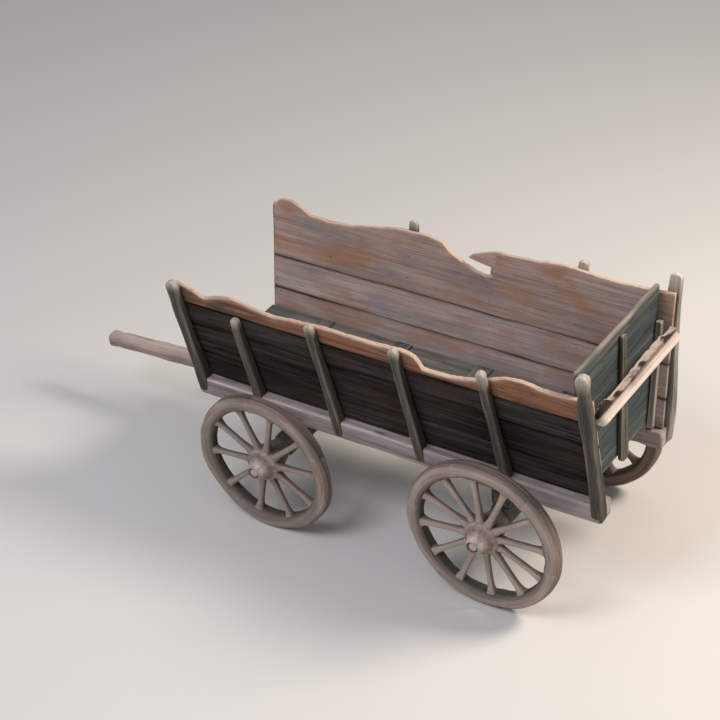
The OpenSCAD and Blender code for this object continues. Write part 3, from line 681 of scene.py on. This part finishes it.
for side, word in ((left, "left"), (right, "right")):
    for k in range(1, 7):
        node = f"{word}_stake_{k}"
        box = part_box(node)
        seed = 400 + 11 * k + (5 if side == right else 0)
        lean = 0.0
        if side == left and k < 6:
            lean = plan["endLean"] if k == 1 else plan["footLean"]
        corner = k in (1, 6)
        half = 0.040 if corner else 0.031
        sway = 0.010 if k == 6 else 0.003
        foot = -0.104
        # the box's top gives the head: up the slope, allowing for lean and depth
        head = ((box[1][2] - sillTop) / cosFlare)
        head = head / math.cos(math.radians(lean)) if lean else head
        t = math.sin(math.radians(lean))
        middle = (box[0][0] + box[1][0]) / 2 - t * (head + foot) / 2
        s = steps(foot, head, stakeLook["pitch"])
        share = np.clip(s / head, 0, 1)
        depth = stakeFoot + (stakeHead - stakeFoot) * share
        knob = k == 6 and side == left
        if knob:
            depth = depth + 0.012 * np.exp(-((head - s - 0.05) / 0.05) ** 2)
        tip = np.clip(1 - (head - s) / 0.03, 0, 1)
        depth = depth * np.sqrt(np.clip(1 - tip ** 2 * 0.55, 0.2, 1))
        wide = stakeWidth(s, head, half, knob)
        carving = Carving()
        look = dict(stakeLook, ends=(0.006, 0.010))
        curve = -sway * np.sin(2 * math.pi * (s - foot) / (head - foot))
        curve = curve * (1 if side == right else 0.7)
        timber(carving, s, (curve - wide, curve + wide), (0.0015, depth),
               leaningPost(side, middle, lean), look, seed, edges=(0.15, 0.15, 0.75, 0.75))
        finish = "greyPost" if k == 6 and side == right else "stakeAsh"
        piece = finishCarving(carving, node, wood[finish])
        heads = np.zeros(len(piece.data.vertices))
        piece.data.attributes["wear"].data.foreach_get("value", heads)
        spots = np.zeros(len(heads) * 3)
        piece.data.vertices.foreach_get("co", spots)
        height = spots.reshape(-1, 3)[:, 2]
        pale = np.clip(1 - (height.max() - height) / (0.13 if k > 4 else 0.07), 0, 1)
        piece.data.attributes["wear"].data.foreach_set("value", np.clip(heads + 0.85 * pale, 0, 1))
print("stakes carved")

# ---- floor

plankLook = dict(cell=0.011, pitch=0.03, round=0.005, hollow=0.003, ridge=0.0016, ragged=0.008)
for k in range(1, 5):
    node = f"floor_plank_{k}"
    low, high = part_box(node)
    carving = Carving()
    timber(carving, steps(low[0], high[0], plankLook["pitch"]), (low[1], high[1]),
           (low[2], high[2]), alongX, plankLook, 600 + 9 * k, edges=(0, 0, 0.4, 0.4))
    finishCarving(carving, node, wood["floorPlank"])

battenLook = dict(cell=0.009, pitch=0.025, round=0.006, hollow=0.002, ridge=0.0014, ragged=0.004)
crossPieces = (
    ("floor_battens", "floorPlank", battenLook, 0.35),
    ("cross_bearers", "underTimber", dict(plankLook, round=0.008), 0.2),
    ("rear_bolster", "underTimber", dict(plankLook, round=0.012), 0.5),
    ("front_bolster", "underTimber", dict(plankLook, round=0.008), 0.5),
    ("drawbar_rest", "underTimber", dict(battenLook, round=0.008), 0.5),
)
for node, finish, look, bright in crossPieces:
    carving = Carving()
    for i, (low, high) in enumerate(solidBoxes(node)):
        timber(carving, steps(low[1], high[1], look["pitch"]), (low[0], high[0]),
               (low[2], high[2]), alongY, look, 640 + 13 * i + len(node), edges=(bright,) * 4)
    finishCarving(carving, node, wood[finish])

for node in ("left_hound", "right_hound"):
    low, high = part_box(node)
    carving = Carving()
    timber(carving, steps(low[0], high[0], 0.025), (low[1], high[1]), (low[2], high[2]), alongX,
           dict(plankLook, round=0.010), 700 + len(node), edges=(0.4,) * 4)
    finishCarving(carving, node, wood["underTimber"])
print("floor and under timbers carved")

# ---- tailgate

tailLook = dict(cell=0.008, pitch=0.02, round=0.004, hollow=0.002, ridge=0.0018, ragged=0.002)


def wallInner(z):
    return footY - plan["board"] / cosFlare + (z - sillTop) * tanFlare


def flaredBoard(carving, low, high, look, seed, edges, top=0.0):
    # a board across the cart whose ends follow the leaning sides
    middle = (low[2] + high[2]) / 2
    half = wallInner(middle) - plan["tailGap"]

    def place(s, a, b):
        return a, s * (wallInner(b) - plan["tailGap"]) / half, b

    timber(carving, steps(-half, half, look["pitch"]), (low[0], high[0]), (low[2], high[2]),
           place, look, seed, edges=edges, top=top)


capTrim = (0.010, 0.014)  # how much slimmer the worn cap is, behind and in front
for node, look, edges, top in (
    ("tailgate_strip", tailLook, (0.7, 0.4, 0.3, 0.3), 0.0),
    ("tailgate_boards", tailLook, (0.15, 0.15, 0.15, 0.15), 0.0),
    ("tailgate_cap", dict(tailLook, round=0.017, hollow=0.005, bite=1.6), (0.1, 0.1, 1, 1), 0.8),
):
    carving = Carving()
    for i, (low, high) in enumerate(solidBoxes(node)):
        if node == "tailgate_cap":
            low = (low[0] + capTrim[0], low[1], low[2])
            high = (high[0] - capTrim[1], high[1], high[2])
        flaredBoard(carving, low, high, look, 760 + 17 * i + len(node), edges, top)
    finishCarving(carving, node, wood["tailBoard"])

low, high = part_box("tailgate_batten")
battenFoot, battenHead = 0.050, 0.026  # half widths of the centre batten
s = steps(low[2], high[2], 0.018)
rise = (s - low[2]) / (high[2] - low[2])
half = battenFoot + (battenHead - battenFoot) * rise
half = half * np.sqrt(np.clip(1 - np.clip(1 - (s - low[2]) / 0.045, 0, 1) ** 2, 0.05, 1))
carving = Carving()
timber(carving, s, (-half, half), (low[0], high[0]), lambda s, a, b: (b, a, s),
       dict(stakeLook, round=0.010, ends=(0.006, 0.004), endWear=0.4), 811,
       edges=(0.75, 0.75, 0.1, 0.1))
finishCarving(carving, "tailgate_batten", wood["stakeAsh"])

carving = Carving()


def intoSide(points):
    # row coordinates to the leaning frame of the nearer side
    y = np.abs(points[:, 1]) - footY
    z = points[:, 2] - sillTop
    return np.stack([points[:, 0], y * cosFlare - z * sinFlare, y * sinFlare + z * cosFlare,
                     np.sign(points[:, 1])], -1)


for i, (low, high) in enumerate(solidBoxes("tailgate_cleats", intoSide)):
    side = int(low[3])
    timber(carving, steps(low[2], high[2], 0.02), (low[0], high[0]), (low[1], high[1]),
           lambda s, a, b, side=side: sidePlane(side)(a, b, s),
           dict(battenLook, round=0.004), 830 + i, edges=(0.3,) * 4)
finishCarving(carving, "tailgate_cleats", wood["greyPost"])
print("tailgate carved")

# ---- rear crossbar: round lower lip, rotted upper edge with a worn channel behind it

barLook = dict(radius=0.035, web=0.042, step=0.012, rot=0.030, holes=0.024, drop=0.026,
              short=0.014)
low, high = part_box("rear_crossbar")
face = high[0]
span = steps(low[1] + barLook["short"], high[1], barLook["step"])
middleX, middleZ = low[0] + barLook["radius"], low[2] + barLook["radius"]
turns = np.radians(np.linspace(160, 300, 16))
outline = np.array(
    [(face, z) for z in np.linspace(low[2] + 0.008, high[2] - 0.004, 18)]
    + [(x, high[2]) for x in np.linspace(face - 0.004, face - barLook["web"] + 0.004, 9)]
    + [(face - barLook["web"], z) for z in np.linspace(high[2] - 0.004, middleZ + 0.026, 12)]
    + [(middleX + barLook["radius"] * math.cos(t), middleZ + barLook["radius"] * math.sin(t))
       for t in turns]
)
across = span[:, None]
x = np.broadcast_to(outline[:, 0], (len(span), len(outline))).copy()
z = np.broadcast_to(outline[:, 1], x.shape).copy()
level = np.clip((z - middleZ - 0.02) / (high[2] - middleZ - 0.02), 0, 1)
rot = np.clip(grainNoise(across, 0, 0, (9, 1, 1), 901) + 0.25, 0, 1)
rot = rot + 0.6 * np.clip(grainNoise(across, 0, 3, (28, 1, 1), 905), 0, 1)
z = z - (barLook["drop"] + barLook["rot"] * rot) * level ** 3
pits = np.clip(grainNoise(across, z, 0, (14, 22, 1), 911) - 0.15, 0, 1)
outside = outline[:, 0] < face - 0.02
hollowed = outside * pits * level
x = x + barLook["holes"] * hollowed
bumps = grainNoise(across, x, z, (4, 60, 60), 917)
x = x - outside * 0.002 * bumps
ends = np.minimum(across - span[0], span[-1] - across)
squeeze = 1 - 0.55 * np.clip(1 - ends / 0.030, 0, 1) ** 2
x = face + (x - face) * squeeze
z = middleZ + (z - middleZ) * squeeze
rings = np.stack(np.broadcast_arrays(x, across, z), -1)
grain = np.stack(np.broadcast_arrays(across + 9.3, x, z), -1)
# painted highlight: the front of the round lower lip gets the worn colour
lipHighlight = outside * np.clip(1 - np.abs(z - middleZ + 0.005) / 0.045, 0, 1)
wear = 1.1 * lipHighlight + 0.2 * (level > 0.85) * (0.5 + 0.5 * grainNoise(across, x, z, (30, 60, 60), 921))
carving = Carving()
# painted shade: the carved pits and the outer face under the sunken upper edge are darkened through
# the shade attribute and lose their worn colour
pitShade = np.clip(3.0 * hollowed + 0.55 * (level > 0.3) * (level < 0.9) * outside, 0, 1)
carving.addRings(rings, grain, wear * (1 - pitShade), 0.1, None, pitShade)
finishCarving(carving, "rear_crossbar", wood["paleOak"])

# ---- axles: a squared beam with two turned arms

axleLook = dict(cell=0.011, pitch=0.025, round=0.012, hollow=0.004, ridge=0.0016)
for node, end in (("rear_axle", "rear"), ("front_axle", "front")):
    low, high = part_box(node)
    middle = (np.array(low) + np.array(high)) / 2
    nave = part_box(f"{end}_left_nave")
    beam = nave[0][1] - 0.005
    carving = Carving()
    timber(carving, steps(-beam, beam, axleLook["pitch"]), (low[0], high[0]), (low[2], high[2]),
           alongY, axleLook, 940 + len(end), edges=(0.5,) * 4)
    arm = 0.028
    angles = np.linspace(0, 2 * math.pi, 33)[:-1]
    for side in (left, right):
        spots = np.array([beam - 0.01, beam + 0.03, 0.6, high[1] - 0.006, high[1] - 0.002, high[1],
                          high[1]])
        radii = arm * np.array([1, 1, 1, 1, 0.93, 0.8, 0.4])
        rings = np.stack([
            middle[0] + radii[:, None] * np.cos(angles),
            side * np.broadcast_to(spots[:, None], (len(spots), 32)),
            middle[2] + radii[:, None] * np.sin(angles),
        ], -1)
        rubbed = np.clip((spots - high[1] + 0.02) / 0.02, 0.2, 1)
        worn = np.broadcast_to(rubbed[:, None], rings.shape[:2])
        carving.addRings(rings, rings[:, :, [1, 0, 2]] + 4.0, worn, 0)
    finishCarving(carving, node, wood["underTimber"])

# ---- drawbar: squared, rounded by wear, with a collar worn behind its tip

drawbarLook = dict(cell=0.008, pitch=0.018, round=0.024, hollow=0.005, ridge=0.0016, warp=0.002,
                   ends=(0.046, 0.014), ragged=0.002, bite=0.5, endWear=0.5)
boltLow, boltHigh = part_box("drawbar_bolt")
bolt = ((boltLow[0] + boltHigh[0]) / 2, (boltLow[2] + boltHigh[2]) / 2)
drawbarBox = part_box("drawbar")
cosDroop, sinDroop = math.cos(math.radians(plan["droop"])), math.sin(math.radians(plan["droop"]))
size = plan["drawbarSize"] / 2
reach = (drawbarBox[1][0] - bolt[0] - size * sinDroop) / cosDroop
s = steps(-size, reach, drawbarLook["pitch"])
swell = 1 - 0.07 * np.exp(-((reach - s - 0.085) / 0.022) ** 2)
carving = Carving()
timber(carving, s, (-size * swell, size * swell), (-size * swell, size * swell),
       lambda s, a, b: (bolt[0] + s * cosDroop + b * sinDroop, a,
                        bolt[1] - s * sinDroop + b * cosDroop),
       drawbarLook, 977, edges=(0.4, 0.4, 0.85, 0.85), top=0.25)
finishCarving(carving, "drawbar", wood["paleOak"])
print("crossbar, axles and drawbar carved")

# ---- wheels

wheelLook = dict(felloeDepth=0.095, felloeWidth=0.105, naveRadius=0.110, spoke=0.022, flare=0.016,
                 flareLength=0.030, noseRadius=0.046, bore=0.0281)
felloeLook = dict(cell=0.008, round=0.035, hollow=0.005, ridge=0.0012, warp=0.001, fade=0.06,
                  ends=(0.0005, 0.0005), ragged=0.0, bite=0.35, endWear=0.0,
                  # insideFrom gives the felloes' inner rims the painted shade of rimOak's inner
                  # colours
                  insideFrom=0.35)
spokeLook = dict(cell=0.007, round=0.019, hollow=0.003, ridge=0.0010, warp=0.0015,
                 ends=(0.002, 0.002), ragged=0.0, bite=0.3, endWear=0.0)


def newTree(name, sockets):
    tree = bpy.data.node_groups.new(name, "GeometryNodeTree")
    tree.interface.new_socket("Geometry", in_out="OUTPUT", socket_type="NodeSocketGeometry")
    for key, kind, value in sockets:
        socket = tree.interface.new_socket(key, in_out="INPUT", socket_type="NodeSocket" + kind)
        if value is not None:
            socket.default_value = value
    return tree, addNode(tree, "NodeGroupInput").outputs


def finishTree(tree, copies, material):
    real = addNode(tree, "GeometryNodeRealizeInstances", {}, {"Geometry": copies})
    coloured = addNode(tree, "GeometryNodeSetMaterial", {},
                       {"Geometry": real, "Material": material})
    addNode(tree, "NodeGroupOutput", {}, {0: coloured})
    return tree


def ringTree():
    # copies of one pattern piece, turned about Z: felloes or spokes round a wheel
    tree, inputs = newTree("wheelRing", (
        ("Pattern", "Object", None), ("Count", "Int", 10), ("Turn", "Float", 0.0),
        ("Uneven", "Float", 0.01), ("Size Change", "Float", 0.04), ("Seed", "Int", None),
        ("Material", "Material", None),
    ))
    spots = addNode(tree, "GeometryNodePoints", {}, {"Count": inputs["Count"]})
    index = addNode(tree, "GeometryNodeInputIndex")
    share = addNode(tree, "ShaderNodeMath", {"operation": "DIVIDE"}, {0: index, 1: inputs["Count"]})
    angle = addNode(tree, "ShaderNodeMath", {"operation": "MULTIPLY_ADD"},
                    {0: share, 1: 2 * math.pi, 2: inputs["Turn"]})
    negative = addNode(tree, "ShaderNodeMath", {"operation": "MULTIPLY"},
                       {0: inputs["Uneven"], 1: -1.0})
    wobble = addNode(tree, "FunctionNodeRandomValue", {"data_type": "FLOAT"},
                     {"Min": negative, "Max": inputs["Uneven"], "Seed": inputs["Seed"]})
    turned = addNode(tree, "ShaderNodeMath", {"operation": "ADD"},
                     {0: angle, 1: wobble.outputs["Value"]})
    rotation = addNode(tree, "ShaderNodeCombineXYZ", {}, {"Z": turned})
    small = addNode(tree, "ShaderNodeMath", {"operation": "SUBTRACT"},
                    {0: 1.0, 1: inputs["Size Change"]})
    size = addNode(tree, "FunctionNodeRandomValue", {"data_type": "FLOAT"},
                   {"Min": small, "Max": 1.0, "Seed": inputs["Seed"]})
    scale = addNode(tree, "ShaderNodeCombineXYZ", {},
                    {"X": 1.0, "Y": size.outputs["Value"], "Z": size.outputs["Value"]})
    pattern = addNode(tree, "GeometryNodeObjectInfo", {"transform_space": "ORIGINAL"},
                      {"Object": inputs["Pattern"], "As Instance": True})
    copies = addNode(tree, "GeometryNodeInstanceOnPoints", {},
                     {"Points": spots, "Instance": pattern.outputs["Geometry"],
                      "Rotation": rotation, "Scale": scale})
    return finishTree(tree, copies, inputs["Material"])


def runTree(tree, values, name, base=None):
    # the tree's result as a plain mesh; values are set by each socket's identifier
    holder = bpy.data.objects.new(name + "Holder", base or bpy.data.meshes.new(name + "Empty"))
    bpy.context.collection.objects.link(holder)
    modifier = holder.modifiers.new("nodes", "NODES")
    modifier.node_group = tree
    names = {item.name: item.identifier for item in tree.interface.items_tree
             if item.item_type == "SOCKET" and item.in_out == "INPUT"}
    for key, value in values.items():
        modifier[names[key]] = value
    bpy.context.view_layer.update()
    graph = bpy.context.evaluated_depsgraph_get()
    mesh = bpy.data.meshes.new_from_object(holder.evaluated_get(graph), depsgraph=graph)
    bpy.data.objects.remove(holder)
    return mesh


wheelRing = ringTree()


def patternObject(carving, name):
    piece = bpy.data.objects.new(name, carving.toMesh(name))
    bpy.context.collection.objects.link(piece)
    return piece


def felloePattern(radius, count, seed):
    # one felloe from angle 0, in the wheel's frame with Z along the axle
    depth, width = wheelLook["felloeDepth"], wheelLook["felloeWidth"]
    middle = radius - depth / 2
    gap = 0.0008 / radius
    length = (2 * math.pi / count - gap) * middle
    carving = Carving()
    s = steps(0, length, 0.016)

    def place(s, a, b):
        angle = gap / 2 + s / middle
        return (middle + a) * np.cos(angle), (middle + a) * np.sin(angle), b

    timber(carving, s, (-depth / 2, depth / 2), (-width / 2, width / 2), place, felloeLook, seed,
           edges=(0.0, 1.0, 1.0, 0.3), top=0.45, tone=0)
    return patternObject(carving, f"felloePattern{seed}")


def spokePattern(radius, count, seed):
    # one spoke along X: oval, spreading where it enters the nave and the felloe
    start, end = wheelLook["naveRadius"] - 0.010, radius - wheelLook["felloeDepth"] + 0.006
    s = steps(start, end, 0.009)
    spread = wheelLook["flare"] * (
        np.exp(-(s - start) / wheelLook["flareLength"]) * 0.8
        + np.exp(-(end - s) / wheelLook["flareLength"])
    )
    thick = wheelLook["spoke"] * (1.02 - 0.10 * (s - start) / (end - start)) + spread
    carving = Carving()
    timber(carving, s, (-thick * 0.92, thick * 0.92), (-thick, thick), lambda s, a, b: (s, a, b),
           spokeLook, seed, edges=(0.2, 0.5, 0.6, 0.4), top=0.35, tone=0)
    return patternObject(carving, f"spokePattern{seed}")


def naveMesh(seed):
    # turned nave, closed all round: outside, nose, recess and bore
    bore = wheelLook["bore"]
    low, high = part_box("rear_left_nave")
    back = low[1] - plan["halfTrack"]
    nose = high[1] - plan["halfTrack"]
    shoulder = nose - plan["noseRecess"]
    outer = [(back, 0.058), (back + 0.004, 0.068), (back + 0.03, 0.076), (-0.090, 0.092),
             (-0.058, 0.105), (-0.030, 0.110), (0.030, 0.110), (0.044, 0.104), (0.052, 0.094),
             (0.064, 0.079), (0.080, 0.064), (0.096, 0.056), (0.112, 0.0515), (nose - 0.007, 0.047),
             (nose - 0.001, 0.041)]
    profile = np.array(outer)
    s = steps(back, nose - 0.001, 0.006)
    r = np.interp(s, profile[:, 0], profile[:, 1])
    soft = np.convolve(np.pad(r, 2, "edge"), [0.1, 0.2, 0.4, 0.2, 0.1], "valid")
    r = np.where((s < back + 0.012) | (s > nose - 0.012), r, soft)
    inside = [(nose, 0.037), (nose - 0.003, 0.035), (shoulder + 0.001, 0.035), (shoulder, 0.034),
              (shoulder, bore + 0.001), (shoulder - 0.002, bore), (0.0, bore),
              (back + 0.002, bore), (back, bore + 0.002), (back, 0.045)]
    zs = np.concatenate([s, [p[0] for p in inside]])
    rs = np.concatenate([r, [p[1] for p in inside]])
    isOuter = (np.arange(len(zs)) < len(s))[:, None]
    angles = np.linspace(0, 2 * math.pi, 73)[:-1]
    x, y = rs[:, None] * np.cos(angles), rs[:, None] * np.sin(angles)
    z = np.broadcast_to(zs[:, None], x.shape)
    hollow = 0.5 + 0.5 * grainNoise(z, x, y, (6, 16, 16), seed)
    ridges = np.abs(grainNoise(z, x, y, (3, 60, 60), seed + 3))
    radial = 1 - isOuter * (0.004 * hollow + 0.0016 * ridges) / rs[:, None]
    points = np.stack([x * radial, y * radial, z], -1)
    grain = np.stack([z + 0.3 * seed, x, y], -1)
    # painted highlight: a band of worn colour round the nose
    noseHighlight = np.clip(1 - np.abs(zs - nose + 0.02) / 0.045, 0, 1)[:, None] * isOuter
    shoulderBright = np.exp(-((zs - 0.036) / 0.012) ** 2)[:, None] * isOuter
    wear = 0.95 * noseHighlight + 0.45 * shoulderBright + 0.15 + 0 * x
    wear = wear * (0.8 + 0.4 * grainNoise(z, x, y, (9, 40, 40), seed + 5))
    rows, around = len(zs), len(angles)
    i = np.arange(rows)[:, None] * around
    n = ((np.arange(rows) + 1) % rows)[:, None] * around
    j = np.arange(around)
    k = (j + 1) % around
    faces = np.stack(np.broadcast_arrays(i + j, i + k, n + k, n + j), -1).reshape(-1, 4)
    carving = Carving()
    carving.addShape(points.reshape(-1, 3), faces, grain.reshape(-1, 3), wear.reshape(-1), 0.0)
    return carving.toMesh(f"nave{seed}")


spokeCount = dict(front=10, rear=12)
wheelTurn = dict(front=-13.0, rear=-9.0)  # degrees, as the wheels stand at rest
for end in ("front", "rear"):
    for side, word in ((left, "left"), (right, "right")):
        wheel = f"{end}_{word}"
        low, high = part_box(wheel + "_felloes")
        centre = (Vector(low) + Vector(high)) / 2
        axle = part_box(f"{end}_axle")
        centre.x = (axle[0][0] + axle[1][0]) / 2
        centre.z = (axle[0][2] + axle[1][2]) / 2
        radius = high[2] - centre.z
        stand = Matrix.Translation(centre) @ Matrix.Rotation(math.radians(-90 * side), 4, "X")
        count = spokeCount[end]
        turn = math.radians(wheelTurn[end])
        seed = 1000 + 60 * (end == "rear") + 30 * (side == right)
        felloe = felloePattern(radius, count // 2, seed)
        spoke = spokePattern(radius, count, seed + 9)
        rim = runTree(wheelRing, {"Pattern": felloe, "Count": count // 2, "Turn": turn,
                                  "Uneven": 0.0, "Size Change": 0.0, "Seed": seed,
                                  "Material": wood["rimOak"]}, wheel + "Rim")
        rods = runTree(wheelRing, {"Pattern": spoke, "Count": count,
                                   "Turn": turn + math.pi / count, "Uneven": 0.008,
                                   "Size Change": 0.12, "Seed": seed + 1,
                                   "Material": wood["wheelOak"]}, wheel + "Rods")
        hub = naveMesh(seed + 17)
        for mesh, part in ((rim, "felloes"), (rods, "spokes"), (hub, "nave")):
            mesh.transform(stand)
            finish = "rimOak" if part == "felloes" else "wheelOak"
            finishPiece(mesh, f"{wheel}_{part}", wood[finish])
        bpy.data.objects.remove(felloe)
        bpy.data.objects.remove(spoke)
print("wheels made")

# ---- nails

nailLook = dict(radius=0.0042, flatness=0.45, sizeChange=0.25)


def nailTree():
    # a flattened forged head on every point, facing along the point's own aim
    tree, inputs = newTree("nailHeads", (
        ("Points", "Geometry", None), ("Radius", "Float", 0.0055), ("Flatness", "Float", 0.45),
        ("Size Change", "Float", 0.25), ("Seed", "Int", None), ("Material", "Material", None),
    ))
    dome = addNode(tree, "GeometryNodeMeshUVSphere", {},
                   {"Segments": 10, "Rings": 6, "Radius": inputs["Radius"]})
    squash = addNode(tree, "ShaderNodeCombineXYZ", {},
                     {"X": 1.0, "Y": 1.0, "Z": inputs["Flatness"]})
    head = addNode(tree, "GeometryNodeTransform", {},
                   {"Geometry": dome.outputs["Mesh"], "Scale": squash})
    aim = addNode(tree, "GeometryNodeInputNamedAttribute", {"data_type": "FLOAT_VECTOR"},
                  {"Name": "aim"})
    turn = addNode(tree, "FunctionNodeAlignRotationToVector", {"axis": "Z"},
                   {"Vector": aim.outputs["Attribute"]})
    small = addNode(tree, "ShaderNodeMath", {"operation": "SUBTRACT"},
                    {0: 1.0, 1: inputs["Size Change"]})
    size = addNode(tree, "FunctionNodeRandomValue", {"data_type": "FLOAT"},
                   {"Min": small, "Max": 1.0, "Seed": inputs["Seed"]})
    copies = addNode(tree, "GeometryNodeInstanceOnPoints", {},
                     {"Points": inputs["Points"], "Instance": head,
                      "Rotation": turn, "Scale": size.outputs["Value"]})
    return finishTree(tree, copies, inputs["Material"])


def nailPiece(name, body, spots, seed):
    points = bpy.data.meshes.new(name + "Points")
    points.from_pydata([p for p, _ in spots], [], [])
    aims = points.attributes.new("aim", "FLOAT_VECTOR", "POINT")
    aims.data.foreach_set("vector", np.array([a for _, a in spots], np.float32).ravel())
    mesh = runTree(nailHeads, {"Radius": nailLook["radius"], "Flatness": nailLook["flatness"],
                               "Size Change": nailLook["sizeChange"], "Seed": seed,
                               "Material": iron}, name, points)
    for attribute in list(mesh.attributes):
        if attribute.name == "aim":
            mesh.attributes.remove(attribute)
    piece = bpy.data.objects.new(name, mesh)
    bpy.context.collection.objects.link(piece)
    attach(piece, body)


nailHeads = nailTree()
scatter = np.random.default_rng(77)
bedSpots, tailSpots = [], []
for side, word, seams in ((left, "left", (0.0, 0.192, 0.414, 0.584, 0.66)),
                          (right, "right", (0.0, 0.192, 0.414, 0.73))):
    inward = (0, -side * cosFlare, sinFlare)
    for k in range(1, 7):
        low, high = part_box(f"{word}_stake_{k}")
        for foot, head in zip(seams[:-1], seams[1:]):
            if k == 2 and side == left and head > 0.6:
                continue
            for b in (foot + 0.28 * (head - foot), foot + 0.72 * (head - foot)):
                share = b / max(0.1, (high[2] - sillTop))
                middle = (low[0] + high[0]) / 2 + (share - 0.45) * (high[0] - low[0] - 0.066)
                x = middle + scatter.uniform(-0.012, 0.012)
                x = min(max(x, rearX + 0.03), boardMid + halfBoard - 0.03)
                spot = sidePlane(side)(x, -plan["board"] + 0.002, b + scatter.uniform(-0.01, 0.01))
                bedSpots.append((spot, inward))
for low, high in solidBoxes("floor_battens"):
    for k in range(1, 5):
        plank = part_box(f"floor_plank_{k}")
        for share in (0.25, 0.75):
            y = plank[0][1] + share * (plank[1][1] - plank[0][1])
            if abs(y) < high[1] - 0.02:
                x = (low[0] + high[0]) / 2 + (0.028 if (k + share) % 1 > 0.5 else -0.028)
                bedSpots.append(((x, y, high[2] - 0.0015), (0, 0, 1)))
low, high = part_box("tailgate_batten")
for z in np.linspace(low[2] + 0.09, high[2] - 0.05, 8):
    tailSpots.append(((low[0] + 0.002, scatter.uniform(-0.014, 0.014), z), (-1, 0, 0)))
nailPiece("bedNails", "bed", bedSpots, 5)
nailPiece("tailgateNails", "tailgate", tailSpots, 6)
print("nails set:", len(bedSpots) + len(tailSpots))

# ---- irons keep their CAD shape

for node in nodes:
    if slotOf[node] == "iron":
        mesh = nodes[node].data
        if not mesh.materials:
            mesh.materials.append(iron)
        for i in range(len(mesh.materials)):
            mesh.materials[i] = iron

# ---- stage, camera and light

stage = dict(floor="#d9d6d1", size=60.0, world="#e4e6ea", worldStrength=0.42)
floorMesh = bpy.data.meshes.new("stageFloor")
h = stage["size"] / 2
floorMesh.from_pydata([(-h, -h, 0), (h, -h, 0), (h, h, 0), (-h, h, 0)], [], [(0, 1, 2, 3)])
floorPiece = bpy.data.objects.new("stageFloor", floorMesh)
bpy.context.collection.objects.link(floorPiece)
paper = bpy.data.materials.new("palePaper")
paper.use_nodes = True
paper.node_tree.nodes["Principled BSDF"].inputs["Base Color"].default_value = linear(stage["floor"])
paper.node_tree.nodes["Principled BSDF"].inputs["Roughness"].default_value = 0.9
floorMesh.materials.append(paper)

world = bpy.data.worlds.new("studio")
bpy.context.scene.world = world
world.use_nodes = True
world.node_tree.nodes["Background"].inputs["Color"].default_value = linear(stage["world"])
world.node_tree.nodes["Background"].inputs["Strength"].default_value = stage["worldStrength"]

lamps = (
    # name, place, aimed at, width, watts, colour
    ("key", (-6.0, -2.6, 6.5), (0, 0, 0.9), 2.2, 640, "#fff2e4"),
    ("fill", (1.0, 5.5, 8.5), (0, -0.2, 0.9), 4.0, 430, "#f2f3ff"),
)
for name, spot, aim, width, watts, tint in lamps:
    light = bpy.data.lights.new(name, "AREA")
    light.shape, light.size, light.energy = "SQUARE", width, watts
    light.color = linear(tint)[:3]
    lamp = bpy.data.objects.new(name, light)
    lamp.location = spot
    lamp.rotation_euler = (Vector(aim) - Vector(spot)).to_track_quat("-Z", "Y").to_euler()
    bpy.context.collection.objects.link(lamp)

shot = dict(spot=(-5.6943, 7.622, 7.469), yaw=-53.57, pitch=-34.6, roll=-5.6, lens=94.3)
yaw, pitch, roll = (math.radians(shot[k]) for k in ("yaw", "pitch", "roll"))
ahead = Vector((math.cos(yaw) * math.cos(pitch), math.sin(yaw) * math.cos(pitch), math.sin(pitch)))
flat = Vector((math.sin(yaw), -math.cos(yaw), 0))
over = flat.cross(ahead)
rightward = math.cos(roll) * flat + math.sin(roll) * over
upward = -math.sin(roll) * flat + math.cos(roll) * over
camera = bpy.data.objects.new("camera", bpy.data.cameras.new("camera"))
camera.data.lens = shot["lens"]
camera.data.sensor_width = 36
turn = Matrix((rightward, upward, -ahead)).transposed().to_4x4()
camera.matrix_world = Matrix.Translation(Vector(shot["spot"])) @ turn
bpy.context.collection.objects.link(camera)
bpy.context.scene.camera = camera
bpy.context.scene.view_settings.view_transform = "Standard"
